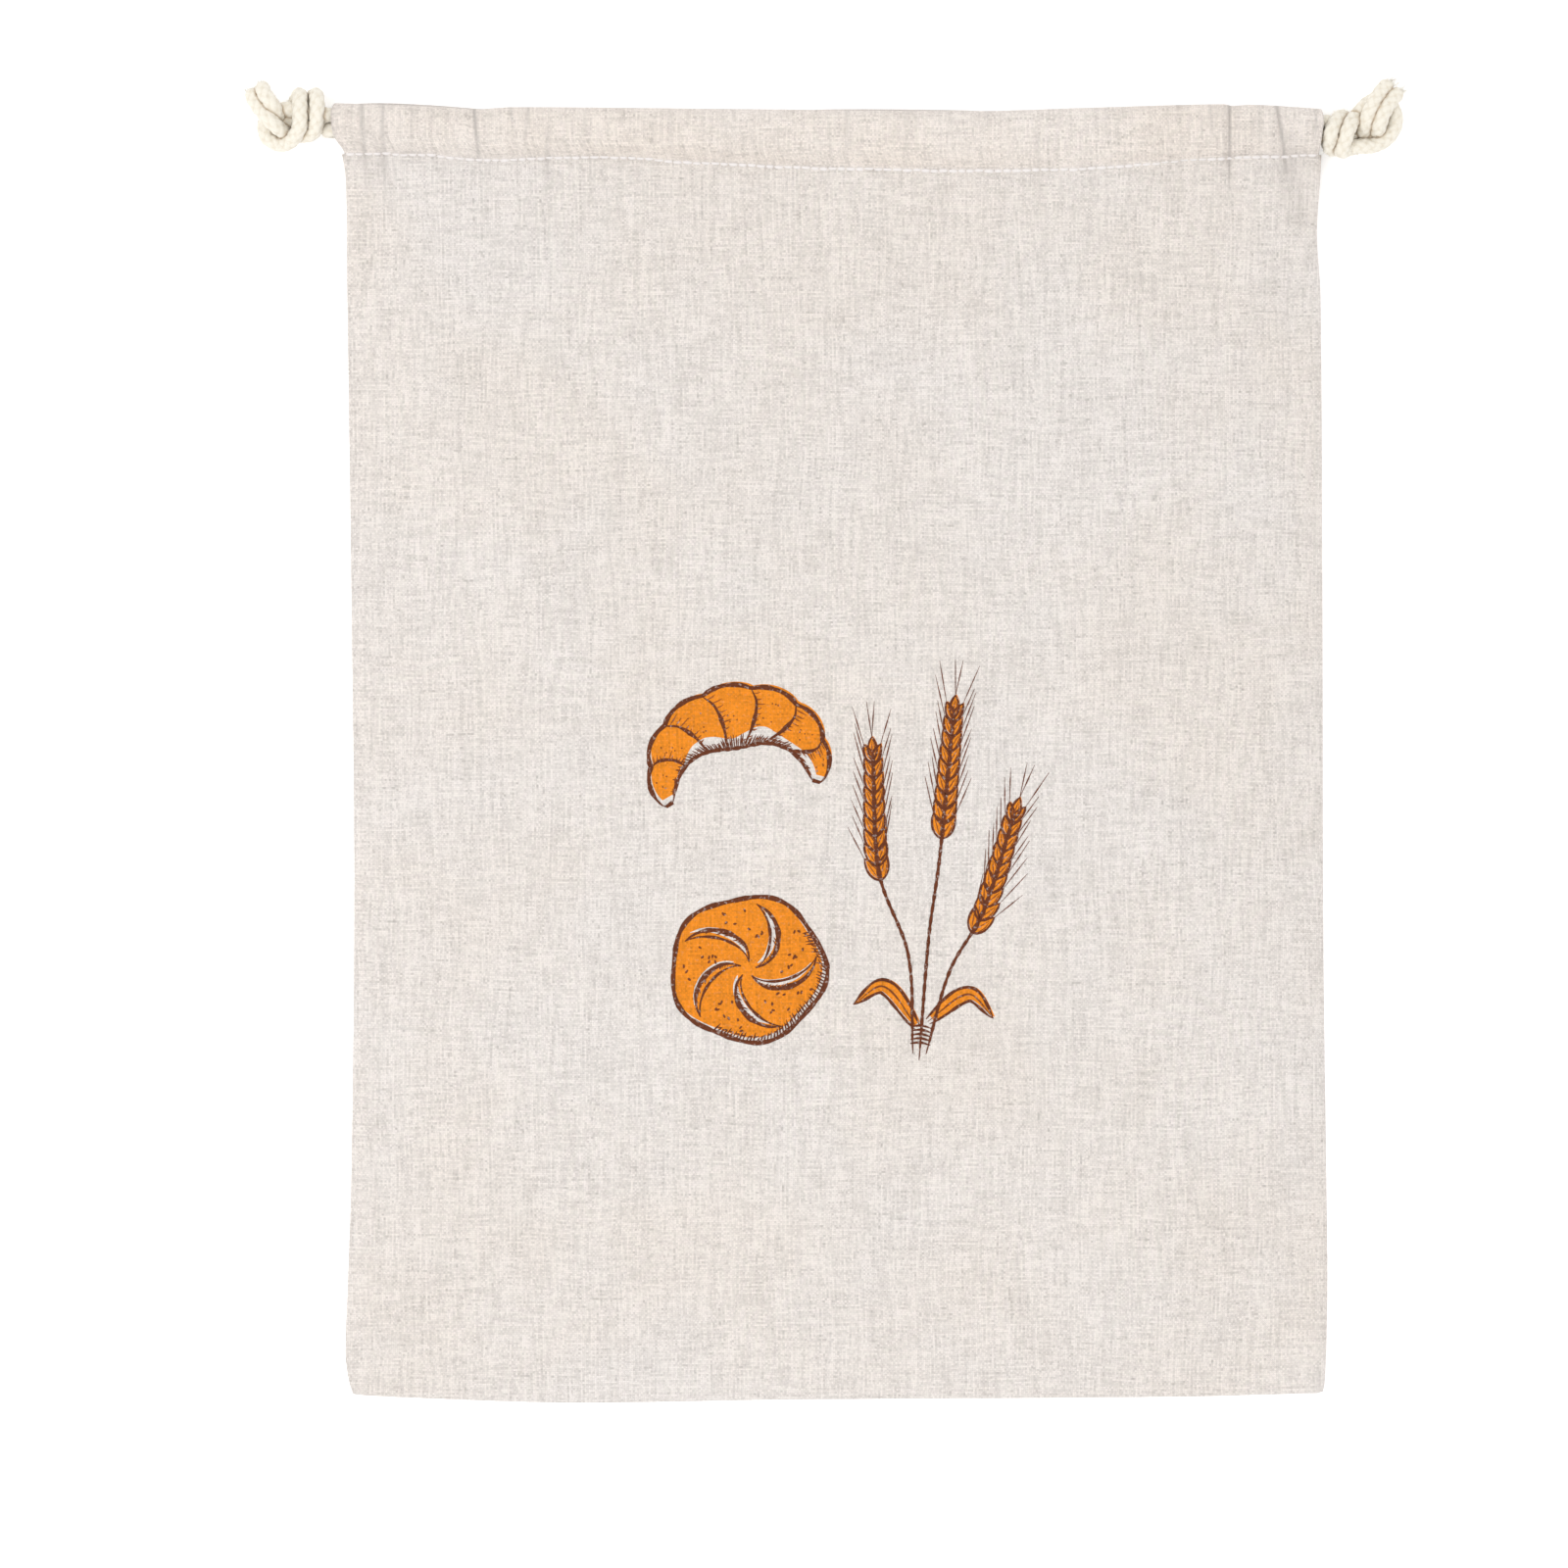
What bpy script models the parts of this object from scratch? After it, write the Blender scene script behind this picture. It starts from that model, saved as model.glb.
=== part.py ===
"""Linen bread bag lying on its back: one cloth folded at the foot, sewn up its sides, with a cord
casing along each side of the mouth and two knotted drawcords. Metres, +Z up, mouth towards +Y."""

import math

import bmesh
import bpy
from mathutils import Vector

# Driving dimensions
MM = 0.001
HALF_WIDTH = 150.0 * MM
SEAM_END_Y = 184.0 * MM  # where the side seams end and the casings start
CLOTH = 1.0 * MM  # thickness of one layer of linen
CORD = 4.0 * MM  # diameter of a drawcord
CORD_PLAY = 0.5 * MM  # room round a cord in its casing
CLEAR = 0.3 * MM  # least gap between two layers or pieces
MOUTH_GAP = 4.8 * MM  # how far the mouth stands open in the middle
MOUTH_END_GAP = 0.6 * MM  # and at its two ends
PLUMP = 13.2 * MM  # height of the front layer in the middle of the bag
FOLD_EDGE = 1.8 * MM  # height of the front layer along the foot and the seams
SEAM_TOP = 9.4 * MM  # height of the front layer where a side seam ends under its casing
SEAM_OPENS = 70.0 * MM  # length over which the seam rises to that height
BACK_LIFT = 2.1 * MM  # rise of the back layer to its casing's stitching
BACK_LIFT_RUN = 24.0 * MM
PUFF = 0.8 * MM  # how far the casing's front stands out between two folds
RAMP_BULGE = 0.62  # share of its rise that a casing's layer has made half way up from the stitching
RAMP_SOFTENS = 0.1 * MM  # how far it still lies below its level part where that starts
RIM_OUT = 0.8 * MM  # bulge of the folded edge beyond the flat layers

# Casing section, worked out from the cord
TUNNEL_HALF = CORD / 2 + CORD_PLAY + CLOTH / 2  # from the cord's line to the middle of a layer
BACK_CORD_Z = CLOTH / 2 + TUNNEL_HALF + 0.1 * MM
BACK_TOP_Z = BACK_CORD_Z + TUNNEL_HALF
LANE_PITCH = CORD + 2 * CLEAR  # the two cords lie side by side
NOSE = CLOTH / 2 + TUNNEL_HALF  # from the top edge to the middle of its round
UPPER_LANE = NOSE + 0.2 * MM  # from the top edge to the line of the upper cord
LOWER_LANE = UPPER_LANE + LANE_PITCH
FRONT_CORD_RAISE = 0.12 * MM
BEND_REACH = 2.85 * MM  # how far a cord stands out where it turns back round the casings' ends
LEVEL_PART = LOWER_LANE + CORD / 2 + 0.8 * MM  # the casing keeps its full height down to here

# Outlines in millimetres, each row a place along the edge and the edge's own coordinate there
LEFT_SEAM = (  # (y, x)
    (-199, -146.5), (-193, -148.5), (-184, -149.7), (-166, -149.1), (-130, -147.9),
    (-40, -147.0), (50, -147.9), (140, -149.1), (176, -149.4), (184, -150.6),
)
RIGHT_SEAM = (  # (y, x)
    (-199, 149.6), (-193, 151.0), (-166, 151.8), (-130, 151.5), (-58, 150.6),
    (50, 150.3), (140, 149.7), (159, 148.5), (176, 149.4), (184, 149.8),
)
FOOT = (  # (x, y)
    (-150, -196.8), (-129, -197.9), (-81, -199.4), (-15, -198.5), (105, -197.6), (152, -196.4),
)
FRONT_TOP = (  # (x, y)
    (-152, 198.8), (-129, 197.9), (-118, 197.3), (-109, 196.7), (-98, 197.3), (-30, 196.7),
    (45, 196.1), (75, 197.0), (119, 198.3), (122, 197.8), (128, 198.2), (150, 197.0),
)
BACK_TOP = (  # (x, y)
    (-152, 199.0), (-138, 199.4), (-122, 198.7), (-106, 197.5), (-80, 196.8), (-30, 196.6),
    (0, 197.5), (40, 197.2), (60, 196.3), (150, 196.6),
)
STITCHING = (  # (x, y)
    (-152, 183.5), (-125, 182.9), (-109, 181.4), (-77, 182.0), (-42, 180.5), (-14, 179.0),
    (63, 178.1), (88, 179.3), (106, 181.1), (124, 182.3), (152, 183.2),
)
CASING_ENDS = (-151.8 * MM, 148.5 * MM)  # left and right ends of both casings
END_FLARE = 6.0 * MM  # height above the stitching at which a casing has reached its ends
PLUMPNESS = (  # (y, share of the full height) from the foot to the mouth
    (-200, 0.0), (-180, 0.30), (-150, 0.56), (-110, 0.80), (-60, 0.95), (-20, 1.0), (120, 1.0), (184, 1.11),
)

# Folds pressed into the front, one row each: x and y where a fold starts at the top edge, x and y
# where it dies out, half width and depth, in millimetres
FOLDS = (
    (-143.5, 198, -142.0, 172, 2.2, 0.7),
    (-136.0, 198, -137.0, 166, 2.4, 0.6),
    (-109.0, 197, -108.5, 176, 2.6, 0.8),
    (-96.0, 197, -96.0, 184, 2.2, 0.5),
    (26.0, 196, 26.5, 182, 3.0, 0.3),
    (119.5, 198, 120.5, 168, 2.2, 0.9),
    (135.0, 198, 141.5, 150, 2.8, 1.0),
)
FOLD_FADES = 0.45  # share of a fold's length at which it starts to die out
FOLD_FADE_RUN = 0.7

# How the layers are divided
BASE_COLUMNS = 22
EDGE_COLUMN = 0.012  # share of the width, at both sides
LEAST_COLUMN = 0.011
ROWS = (0, 0.035, 0.09, 0.17, 0.27, 0.38, 0.5, 0.62, 0.73, 0.82, 0.885, 0.93, 0.965, 1)
RIM_STEPS = 4

# Knots, as the line midway between the two strands, in cord diameters: distance out from the
# bag, up towards the mouth, height above the knot's middle, the way from one strand to the other
# and how far apart they lie. The last rows are the tails.
LEFT_KNOT = (
    (-0.10, 0.00, 0.00, 0.0, 0.0, 1.0, 1.9),
    (0.90, 0.00, 0.05, 0.0, 0.3, 1.0, 1.2),
    (1.90, 0.05, 0.10, 0.0, 0.8, 0.8, 1.0),
    (2.90, -0.10, 0.15, 0.2, 1.0, 0.3, 1.0),
    (3.60, -0.65, 0.10, 1.0, 0.6, 0.0, 1.0),
    (3.55, -1.35, -0.10, 0.9, -0.7, 0.2, 1.0),
    (2.80, -1.75, -0.20, 0.5, -1.0, 0.4, 1.0),
    (1.85, -1.70, 0.15, 0.8, -0.6, 0.6, 1.0),
    (1.20, -1.15, 1.05, 1.0, 0.0, 0.2, 1.0),
    (1.00, -0.10, 1.45, 1.0, 0.0, 0.0, 1.0),
    (1.00, 1.00, 1.15, 1.0, 0.0, 0.0, 1.0),
    (1.05, 1.55, 0.15, 1.0, 0.0, 0.0, 1.0),
    (1.25, 1.10, -0.95, 1.0, 0.2, 0.0, 1.0),
    (1.80, 0.20, -1.28, 1.0, 0.6, 0.0, 1.0),
    (2.45, -0.70, -0.95, 0.8, 1.0, 0.0, 1.0),
    (2.90, -0.80, 0.10, 0.6, 1.0, 0.0, 1.0),
    (3.35, -0.20, 1.05, 0.4, 1.0, 0.3, 1.0),
    (3.95, 0.60, 1.15, -0.4, 1.0, 0.3, 1.0),
    (4.50, 1.40, 0.75, -0.6, 1.0, 0.2, 1.0),
    (4.75, 2.10, 0.30, -0.8, 0.8, 0.0, 1.0),
)
RIGHT_KNOT = (
    (-0.10, 0.00, 0.00, 0.0, 0.0, 1.0, 1.9),
    (0.90, 0.10, 0.05, 0.0, 0.3, 1.0, 1.2),
    (1.80, 0.60, 0.05, 0.0, 0.8, 0.8, 1.0),
    (2.60, 1.50, 0.15, -0.8, 0.8, 0.3, 1.0),
    (3.40, 2.25, 0.20, -0.4, 1.0, 0.2, 1.0),
    (4.30, 2.05, 0.15, 0.9, 1.0, 0.0, 1.0),
    (4.55, 1.20, 0.00, 1.0, 0.1, 0.3, 1.0),
    (4.10, 0.30, -0.10, 0.9, -0.7, 0.4, 1.0),
    (3.20, -0.30, -0.10, 0.4, -0.8, 0.8, 1.0),
    (2.10, -0.60, 0.00, 0.0, -0.3, 1.0, 1.0),
    (1.20, -0.80, 0.10, 0.0, -0.3, 1.0, 1.0),
    (0.62, -0.98, 0.75, 1.0, -0.4, 0.2, 1.0),
    (0.74, -0.15, 1.50, 1.0, 0.0, 0.0, 1.15),
    (1.00, 0.65, 1.40, 1.0, 0.0, 0.0, 1.15),
    (1.45, 1.40, 0.60, 1.0, 0.0, 0.0, 1.1),
    (1.75, 1.45, -0.50, 1.0, 0.0, 0.2, 1.0),
    (2.00, 0.80, -1.27, 1.0, 0.4, 0.0, 1.0),
    (2.70, 0.30, -1.10, 0.6, 1.0, 0.0, 1.0),
    (3.10, 0.50, 0.10, 1.0, 0.0, 0.0, 1.0),
    (3.30, 1.20, 1.15, 1.0, -0.2, 0.2, 1.0),
    (3.70, 2.20, 1.35, 1.0, -0.4, 0.0, 1.0),
    (4.30, 3.10, 1.00, 1.0, -0.5, 0.0, 1.0),
    (4.90, 3.80, 0.60, 0.9, -0.6, 0.0, 1.0),
)
BEND_STEP = math.radians(16)
KNOT_STARTS = (5.7 * MM, 3.5 * MM)  # from the casing's left and right end to the knot there
KNOT_GAP = 1.5 * MM  # from a cord's cut end to the first point of its knot
KNOT_Z = 1.865 * CORD
KNOT_VOXEL = 0.75 * MM
KNOT_FACES_KEPT = 0.24

LINEN = ("linen", (0.80, 0.75, 0.71), 0.9)
COTTON = ("cotton cord", (0.87, 0.82, 0.71), 0.85)


def start_clean():
    for obj in list(bpy.data.objects):
        bpy.data.objects.remove(obj, do_unlink=True)
    part = bpy.data.collections.new("linen_bread_bag")
    bpy.context.scene.collection.children.link(part)
    return part


def material(recipe):
    name, colour, roughness = recipe
    made = bpy.data.materials.get(name) or bpy.data.materials.new(name)
    made.use_nodes = True
    shader = made.node_tree.nodes["Principled BSDF"]
    shader.inputs["Base Color"].default_value = (*colour, 1)
    shader.inputs["Roughness"].default_value = roughness
    shader.inputs["Metallic"].default_value = 0.0
    return made


def along(table, at):
    """The value at a place, read from a smooth curve through a table's rows."""
    if at <= table[0][0]:
        return table[0][1]
    if at >= table[-1][0]:
        return table[-1][1]
    i = next(k for k in range(len(table) - 1) if at < table[k + 1][0])
    (x0, v0), (x1, v1) = table[i], table[i + 1]

    def slope(k):
        low, high = table[max(k - 1, 0)], table[min(k + 1, len(table) - 1)]
        return (high[1] - low[1]) / (high[0] - low[0])

    run = x1 - x0
    t = (at - x0) / run
    return (
        v0 * (2 * t**3 - 3 * t**2 + 1)
        + v1 * (3 * t**2 - 2 * t**3)
        + slope(i) * run * (t**3 - 2 * t**2 + t)
        + slope(i + 1) * run * (t**3 - t**2)
    )


def edge(table, at):
    return along(table, at / MM) * MM


def smooth(t):
    t = min(max(t, 0.0), 1.0)
    return t * t * (3 - 2 * t)


def across(x):
    """1 over the middle of the bag, falling to 0 at its side seams."""
    return max(0.0, 1 - min(abs(x) / HALF_WIDTH, 1.0) ** 4) ** 0.9


def fold_depth(x, y):
    """How far the folds press the front in at a place."""
    depth = 0.0
    for top_x, top_y, end_x, end_y, half_width, deep in FOLDS:
        down = (top_y - y / MM) / (top_y - end_y)
        if down > FOLD_FADES + FOLD_FADE_RUN:
            continue
        middle = top_x + (end_x - top_x) * max(down, 0.0)
        near = math.exp(-(((x / MM - middle) / half_width) ** 2))
        near *= 1 - smooth((down - FOLD_FADES) / FOLD_FADE_RUN)
        depth = max(depth, near * deep * MM)
    return depth


def seam_height(y):
    return FOLD_EDGE + (SEAM_TOP - FOLD_EDGE) * smooth(1 - (SEAM_END_Y - y) / SEAM_OPENS)


def front_height(x, y):
    low = seam_height(y)
    high = FOLD_EDGE + (PLUMP - FOLD_EDGE) * along(PLUMPNESS, y / MM)
    high = max(high, low)
    return low + (high - low) * across(x) - fold_depth(x, y)


def back_height(x, y):
    foot_of_rise = edge(STITCHING, x) - BACK_LIFT_RUN
    return CLOTH / 2 + BACK_LIFT * smooth((y - foot_of_rise) / BACK_LIFT_RUN)


def front_cord_height(x):
    """Height of the cords' line in the front casing, which lies on the back one at its ends."""
    gap = MOUTH_END_GAP + (MOUTH_GAP - MOUTH_END_GAP) * across(x)
    return BACK_TOP_Z + CLOTH + gap + TUNNEL_HALF


def casing_layers(top_y, stitch_y, stitch_z, middle_z, puff):
    """The outer and the inner layer of a casing in one lengthwise section, each from just above
    the stitching to just before the nose, and the nose itself, as (y, z)."""
    nose_y = top_y - NOSE
    ramp_y = top_y - LEVEL_PART
    level_y = top_y - LOWER_LANE
    turn = TUNNEL_HALF * math.sqrt(0.5)
    layers = []
    for way, extra in ((1, puff), (-1, 0.0)):
        level_z = middle_z + way * TUNNEL_HALF + extra
        layers.append([
            ((ramp_y + stitch_y) / 2, stitch_z + (level_z - stitch_z) * RAMP_BULGE),
            (ramp_y, level_z - way * RAMP_SOFTENS),
            (level_y, level_z),
            (nose_y, level_z),
            (nose_y + turn, middle_z + way * turn + extra / 2),
        ])
    return layers, (top_y - CLOTH / 2, middle_z)


def columns():
    """Places across the bag as shares of its width: an even spread, and both sides of each fold."""
    places = {i / BASE_COLUMNS for i in range(BASE_COLUMNS + 1)} | {EDGE_COLUMN, 1 - EDGE_COLUMN}
    for top_x, _, _, _, half_width, _ in FOLDS:
        for step in (-1.5, 0, 1.5):
            places.add(0.5 + (top_x + step * half_width) * MM / (2 * HALF_WIDTH))
    kept = []
    for place in sorted(places):
        if not kept or place - kept[-1] > LEAST_COLUMN or place == 1:
            kept.append(place)
    return kept


def grid(mesh, rows):
    """Quads between neighbouring rows of vertices."""
    for upper, lower in zip(rows, rows[1:]):
        for a, b, c, d in zip(upper, upper[1:], lower[1:], lower):
            mesh.faces.new((a, b, c, d))


def bag_cloth(part):
    mesh = bmesh.new()
    places = columns()
    inset = RIM_OUT + CLOTH / 2

    def spot(place, share):
        """x and y in the flat panels, the share running from the foot to the stitching."""
        x = HALF_WIDTH * (2 * place - 1)
        for _ in range(3):
            low, high = edge(FOOT, x) + inset, edge(STITCHING, x)
            y = low + (high - low) * share
            left, right = edge(LEFT_SEAM, y) + inset, edge(RIGHT_SEAM, y) - inset
            x = left + (right - left) * place
        return x, y

    panels = {}
    for name, height in (("front", front_height), ("back", back_height)):
        panels[name] = [
            [mesh.verts.new((x, y, height(x, y))) for x, y in (spot(p, row) for p in places)]
            for row in ROWS
        ]
        grid(mesh, panels[name])

    def border(panel):
        left = [row[0] for row in reversed(panel[1:])]
        right = [row[-1] for row in panel[1:]]
        return left + panel[0] + right

    upper, lower = border(panels["front"]), border(panels["back"])
    rings = [upper]
    for step in range(1, RIM_STEPS):
        ring = []
        for i, (top, low) in enumerate(zip(upper, lower)):
            before, after = upper[max(i - 1, 0)].co, upper[min(i + 1, len(upper) - 1)].co
            out = Vector((after.y - before.y, before.x - after.x, 0)).normalized()
            turned = math.pi * step / RIM_STEPS
            point = top.co.lerp(low.co, (1 - math.cos(turned)) / 2) + out * RIM_OUT * math.sin(turned)
            ring.append(mesh.verts.new(point))
        rings.append(ring)
    grid(mesh, rings + [lower])

    for name, top_edge in (("front", FRONT_TOP), ("back", BACK_TOP)):
        seam_row = panels[name][-1]
        lines = []
        for place, low in zip(places, seam_row):
            end_x = CASING_ENDS[0] + (CASING_ENDS[1] - CASING_ENDS[0]) * place
            if name == "front":
                middle = front_cord_height(low.co.x)
                puff = max(PUFF - fold_depth(low.co.x, edge(top_edge, low.co.x)), 0.0)
                flip = 1
            else:
                middle, puff, flip = BACK_CORD_Z, 0.0, -1
            layers, nose = casing_layers(edge(top_edge, end_x), low.co.y, low.co.z, middle, puff)
            outer, inner = layers[::flip]
            line = [low]
            for y, z in outer + [nose] + inner[::-1]:
                out = smooth((y - low.co.y) / END_FLARE)
                line.append(mesh.verts.new((low.co.x + (end_x - low.co.x) * out, y, z)))
            lines.append(line + [low])
        grid(mesh, lines)

    bmesh.ops.recalc_face_normals(mesh, faces=mesh.faces)
    data = bpy.data.meshes.new("bag_cloth")
    mesh.to_mesh(data)
    mesh.free()
    cloth = bpy.data.objects.new("bag_cloth", data)
    part.objects.link(cloth)
    solidify = cloth.modifiers.new("layer", "SOLIDIFY")
    solidify.solidify_mode = "NON_MANIFOLD"
    solidify.nonmanifold_thickness_mode = "EVEN"
    solidify.nonmanifold_merge_threshold = 1e-7
    solidify.thickness = CLOTH
    solidify.offset = 0.0
    data.materials.append(material(LINEN))
    data.shade_smooth()
    return cloth


def tube(part, name, points):
    """A round cord through the points, with closed ends."""
    curve = bpy.data.curves.new(name, "CURVE")
    curve.dimensions = "3D"
    curve.bevel_depth = CORD / 2
    curve.bevel_resolution = 2
    curve.use_fill_caps = True
    curve.twist_mode = "MINIMUM"
    line = curve.splines.new("POLY")
    line.points.add(len(points) - 1)
    for slot, point in zip(line.points, points):
        slot.co = (*point, 1)
    curve.materials.append(material(COTTON))
    cord = bpy.data.objects.new(name, curve)
    part.objects.link(cord)
    return cord


def smooth_line(points, step):
    """Points on a smooth curve through the points given: a step apart, or closer in a bend."""
    places = [0.0]
    for a, b in zip(points, points[1:]):
        places.append(places[-1] + (Vector(b) - Vector(a)).length)
    tables = [[(s, p[axis]) for s, p in zip(places, points)] for axis in range(3)]
    count = round(places[-1] / (CORD / 4))
    fine = [Vector([along(t, places[-1] * i / count) for t in tables]) for i in range(count + 1)]
    kept = [fine[0]]
    for here, after in zip(fine[1:], fine[2:]):
        run = here - kept[-1]
        if run.length >= step or run.angle(after - here) > BEND_STEP:
            kept.append(here)
    return kept + [fine[-1]]


def lane_point(name, x, lane):
    """A point on a cord in one of the casings."""
    if name == "front":
        return (x, edge(FRONT_TOP, x) - lane, front_cord_height(x) + FRONT_CORD_RAISE)
    return (x, edge(BACK_TOP, x) - lane, BACK_CORD_Z)


def knot_frame(side):
    """Where a knot starts, and the way it points out of the bag."""
    end = CASING_ENDS[side > 0]
    lane = UPPER_LANE if side < 0 else LOWER_LANE
    y = (edge(FRONT_TOP, end) + edge(BACK_TOP, end)) / 2 - lane
    return Vector((end + side * KNOT_STARTS[side > 0], y, KNOT_Z)), lane


def strand(side, which):
    """The route of one of the two strands of a knot, from the bag to its cut end."""
    start, _ = knot_frame(side)
    route = LEFT_KNOT if side < 0 else RIGHT_KNOT
    lines = [Vector(row[:3]) for row in route]
    points = []
    for i, row in enumerate(route):
        run = lines[min(i + 1, len(lines) - 1)] - lines[max(i - 1, 0)]
        spread = Vector(row[3:6])
        spread = (spread - run * (spread.dot(run) / run.length_squared)).normalized()
        local = lines[i] + spread * (0.5 * which * row[6])
        points.append(start + Vector((side * local.x, local.y, local.z)) * CORD)
    return points


def drawcord(part, name, side):
    """A cord from its knot through the front casing, round the far end and back behind."""
    start, lane = knot_frame(side)
    near, far = (CASING_ENDS if side < 0 else CASING_ENDS[::-1])
    front_z, back_z = front_cord_height(near), BACK_CORD_Z
    straight = [near + (far - near) * i / 24 for i in range(25)]
    front = [lane_point("front", x, lane) for x in straight]
    back = [lane_point("back", x, lane) for x in reversed(straight)]
    bend_y = (front[-1][1] + back[0][1]) / 2
    middle = (front_z + back_z) / 2
    rise = (front_z - back_z) / 2
    bend = []
    for turned in (30, 60, 90, 120, 150):
        out, up = math.sin(math.radians(turned)), math.cos(math.radians(turned))
        bend.append((far - side * BEND_REACH * out, bend_y, middle + rise * up))
    ends = []
    for which in (1, -1):
        first = strand(side, which)[0]
        ends.append(first - Vector((side * KNOT_GAP, 0, 0)))
    route = [ends[0]] + front + bend + back + [ends[1]]
    return tube(part, name, smooth_line(route, 2.2 * CORD))


def knot(part, name, side):
    """Both strands of a cord in one doubled overhand knot, fused where they touch."""
    mesh = bmesh.new()
    for which in (1, -1):
        line = tube(part, "strand", smooth_line(strand(side, which), 0.45 * CORD))
        made = bpy.data.meshes.new_from_object(
            line.evaluated_get(bpy.context.evaluated_depsgraph_get())
        )
        mesh.from_mesh(made)
        bpy.data.objects.remove(line, do_unlink=True)
        bpy.data.meshes.remove(made)
    bmesh.ops.remove_doubles(mesh, verts=mesh.verts, dist=1e-6)
    data = bpy.data.meshes.new(name)
    mesh.to_mesh(data)
    mesh.free()
    made = bpy.data.objects.new(name, data)
    part.objects.link(made)
    fuse = made.modifiers.new("fuse", "REMESH")
    fuse.mode = "VOXEL"
    fuse.voxel_size = KNOT_VOXEL
    thin = made.modifiers.new("thin", "DECIMATE")
    thin.ratio = KNOT_FACES_KEPT
    data.materials.clear()
    data.materials.append(material(COTTON))
    return made


def main():
    part = start_clean()
    bag_cloth(part)
    drawcord(part, "drawcord_right", 1)
    drawcord(part, "drawcord_left", -1)
    knot(part, "knot_right", 1)
    knot(part, "knot_left", -1)


main()
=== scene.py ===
"""Linen bread bag lying on its back, with woven cloth, a stitched casing along each side of the
mouth, two braided drawcords knotted outside it and a two-colour print. Metres, +Z up, mouth
towards +Y."""

import math
import random

import bmesh
import bpy
from mathutils import Matrix, Vector
from mathutils.bvhtree import BVHTree
from mathutils.geometry import tessellate_polygon
from mathutils.interpolate import poly_3d_calc
from mathutils.kdtree import KDTree


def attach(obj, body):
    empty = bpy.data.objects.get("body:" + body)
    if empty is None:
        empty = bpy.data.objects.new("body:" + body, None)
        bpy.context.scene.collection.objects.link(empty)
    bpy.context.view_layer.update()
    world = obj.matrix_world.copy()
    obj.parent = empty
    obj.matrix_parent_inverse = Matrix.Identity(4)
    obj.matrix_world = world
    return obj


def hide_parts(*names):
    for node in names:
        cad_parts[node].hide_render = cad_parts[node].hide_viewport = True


bl_info = {
    "name": "Linen bread bag",
    "version": (1, 0, 0),
    "blender": (4, 5, 0),
    "location": "3D View > Sidebar > Bread bag",
    "description": "Builds a printed linen drawstring bag round its fixed solids",
    "category": "Object",
}

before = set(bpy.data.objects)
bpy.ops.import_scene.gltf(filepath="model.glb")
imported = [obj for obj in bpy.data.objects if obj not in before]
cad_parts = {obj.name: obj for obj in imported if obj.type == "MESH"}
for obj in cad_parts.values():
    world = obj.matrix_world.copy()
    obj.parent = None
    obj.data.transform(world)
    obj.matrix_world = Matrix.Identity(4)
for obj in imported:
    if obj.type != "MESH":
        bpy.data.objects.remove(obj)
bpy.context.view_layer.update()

MM = 0.001

# Sizes shared with the solids
HALF_WIDTH = 150.0 * MM
SEAM_END_Y = 184.0 * MM
CLOTH = 1.0 * MM
CORD = 4.0 * MM
CORD_PLAY = 0.5 * MM
CLEAR = 0.3 * MM
MOUTH_GAP = 4.8 * MM
MOUTH_END_GAP = 0.6 * MM
PLUMP = 13.2 * MM
FOLD_EDGE = 1.8 * MM
SEAM_TOP = 9.4 * MM
SEAM_OPENS = 70.0 * MM
BACK_LIFT = 2.1 * MM
BACK_LIFT_RUN = 24.0 * MM
PUFF = 0.8 * MM
RAMP_BULGE = 0.62
RAMP_SOFTENS = 0.1 * MM
RIM_OUT = 0.8 * MM
TUNNEL_HALF = CORD / 2 + CORD_PLAY + CLOTH / 2
BACK_CORD_Z = CLOTH / 2 + TUNNEL_HALF + 0.1 * MM
BACK_TOP_Z = BACK_CORD_Z + TUNNEL_HALF
NOSE = CLOTH / 2 + TUNNEL_HALF
UPPER_LANE = NOSE + 0.2 * MM
LOWER_LANE = UPPER_LANE + CORD + 2 * CLEAR
FRONT_CORD_RAISE = 0.12 * MM
BEND_REACH = 2.85 * MM
LEVEL_PART = LOWER_LANE + CORD / 2 + 0.8 * MM

# Outlines in millimetres: a place along the edge and the edge's own coordinate there
LEFT_SEAM = (  # (y, x)
    (-199, -146.5), (-193, -148.5), (-184, -149.7), (-166, -149.1), (-130, -147.9),
    (-40, -147.0), (50, -147.9), (140, -149.1), (176, -149.4), (184, -150.6),
)
RIGHT_SEAM = (  # (y, x)
    (-199, 149.6), (-193, 151.0), (-166, 151.8), (-130, 151.5), (-58, 150.6),
    (50, 150.3), (140, 149.7), (159, 148.5), (176, 149.4), (184, 149.8),
)
FOOT = (  # (x, y)
    (-150, -196.8), (-129, -197.9), (-81, -199.4), (-15, -198.5), (105, -197.6), (152, -196.4),
)
FRONT_TOP = (  # (x, y)
    (-152, 198.8), (-129, 197.9), (-118, 197.3), (-109, 196.7), (-98, 197.3), (-30, 196.7),
    (45, 196.1), (75, 197.0), (119, 198.3), (122, 197.8), (128, 198.2), (150, 197.0),
)
BACK_TOP = (  # (x, y)
    (-152, 199.0), (-138, 199.4), (-122, 198.7), (-106, 197.5), (-80, 196.8), (-30, 196.6),
    (0, 197.5), (40, 197.2), (60, 196.3), (150, 196.6),
)
STITCHING = (  # (x, y)
    (-152, 183.5), (-125, 182.9), (-109, 181.4), (-77, 182.0), (-42, 180.5), (-14, 179.0),
    (63, 178.1), (88, 179.3), (106, 181.1), (124, 182.3), (152, 183.2),
)
PANEL_LONG = 378.0 * MM  # from the fold at the foot to the stitching
FOOT_FOLD = 201.5 * MM
MAP_SIDE, MAP_FOOT = 0.16, 0.42  # where the bag's middle line and foot lie on the flat cloth
THREAD_WANDER = 0.0028
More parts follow.
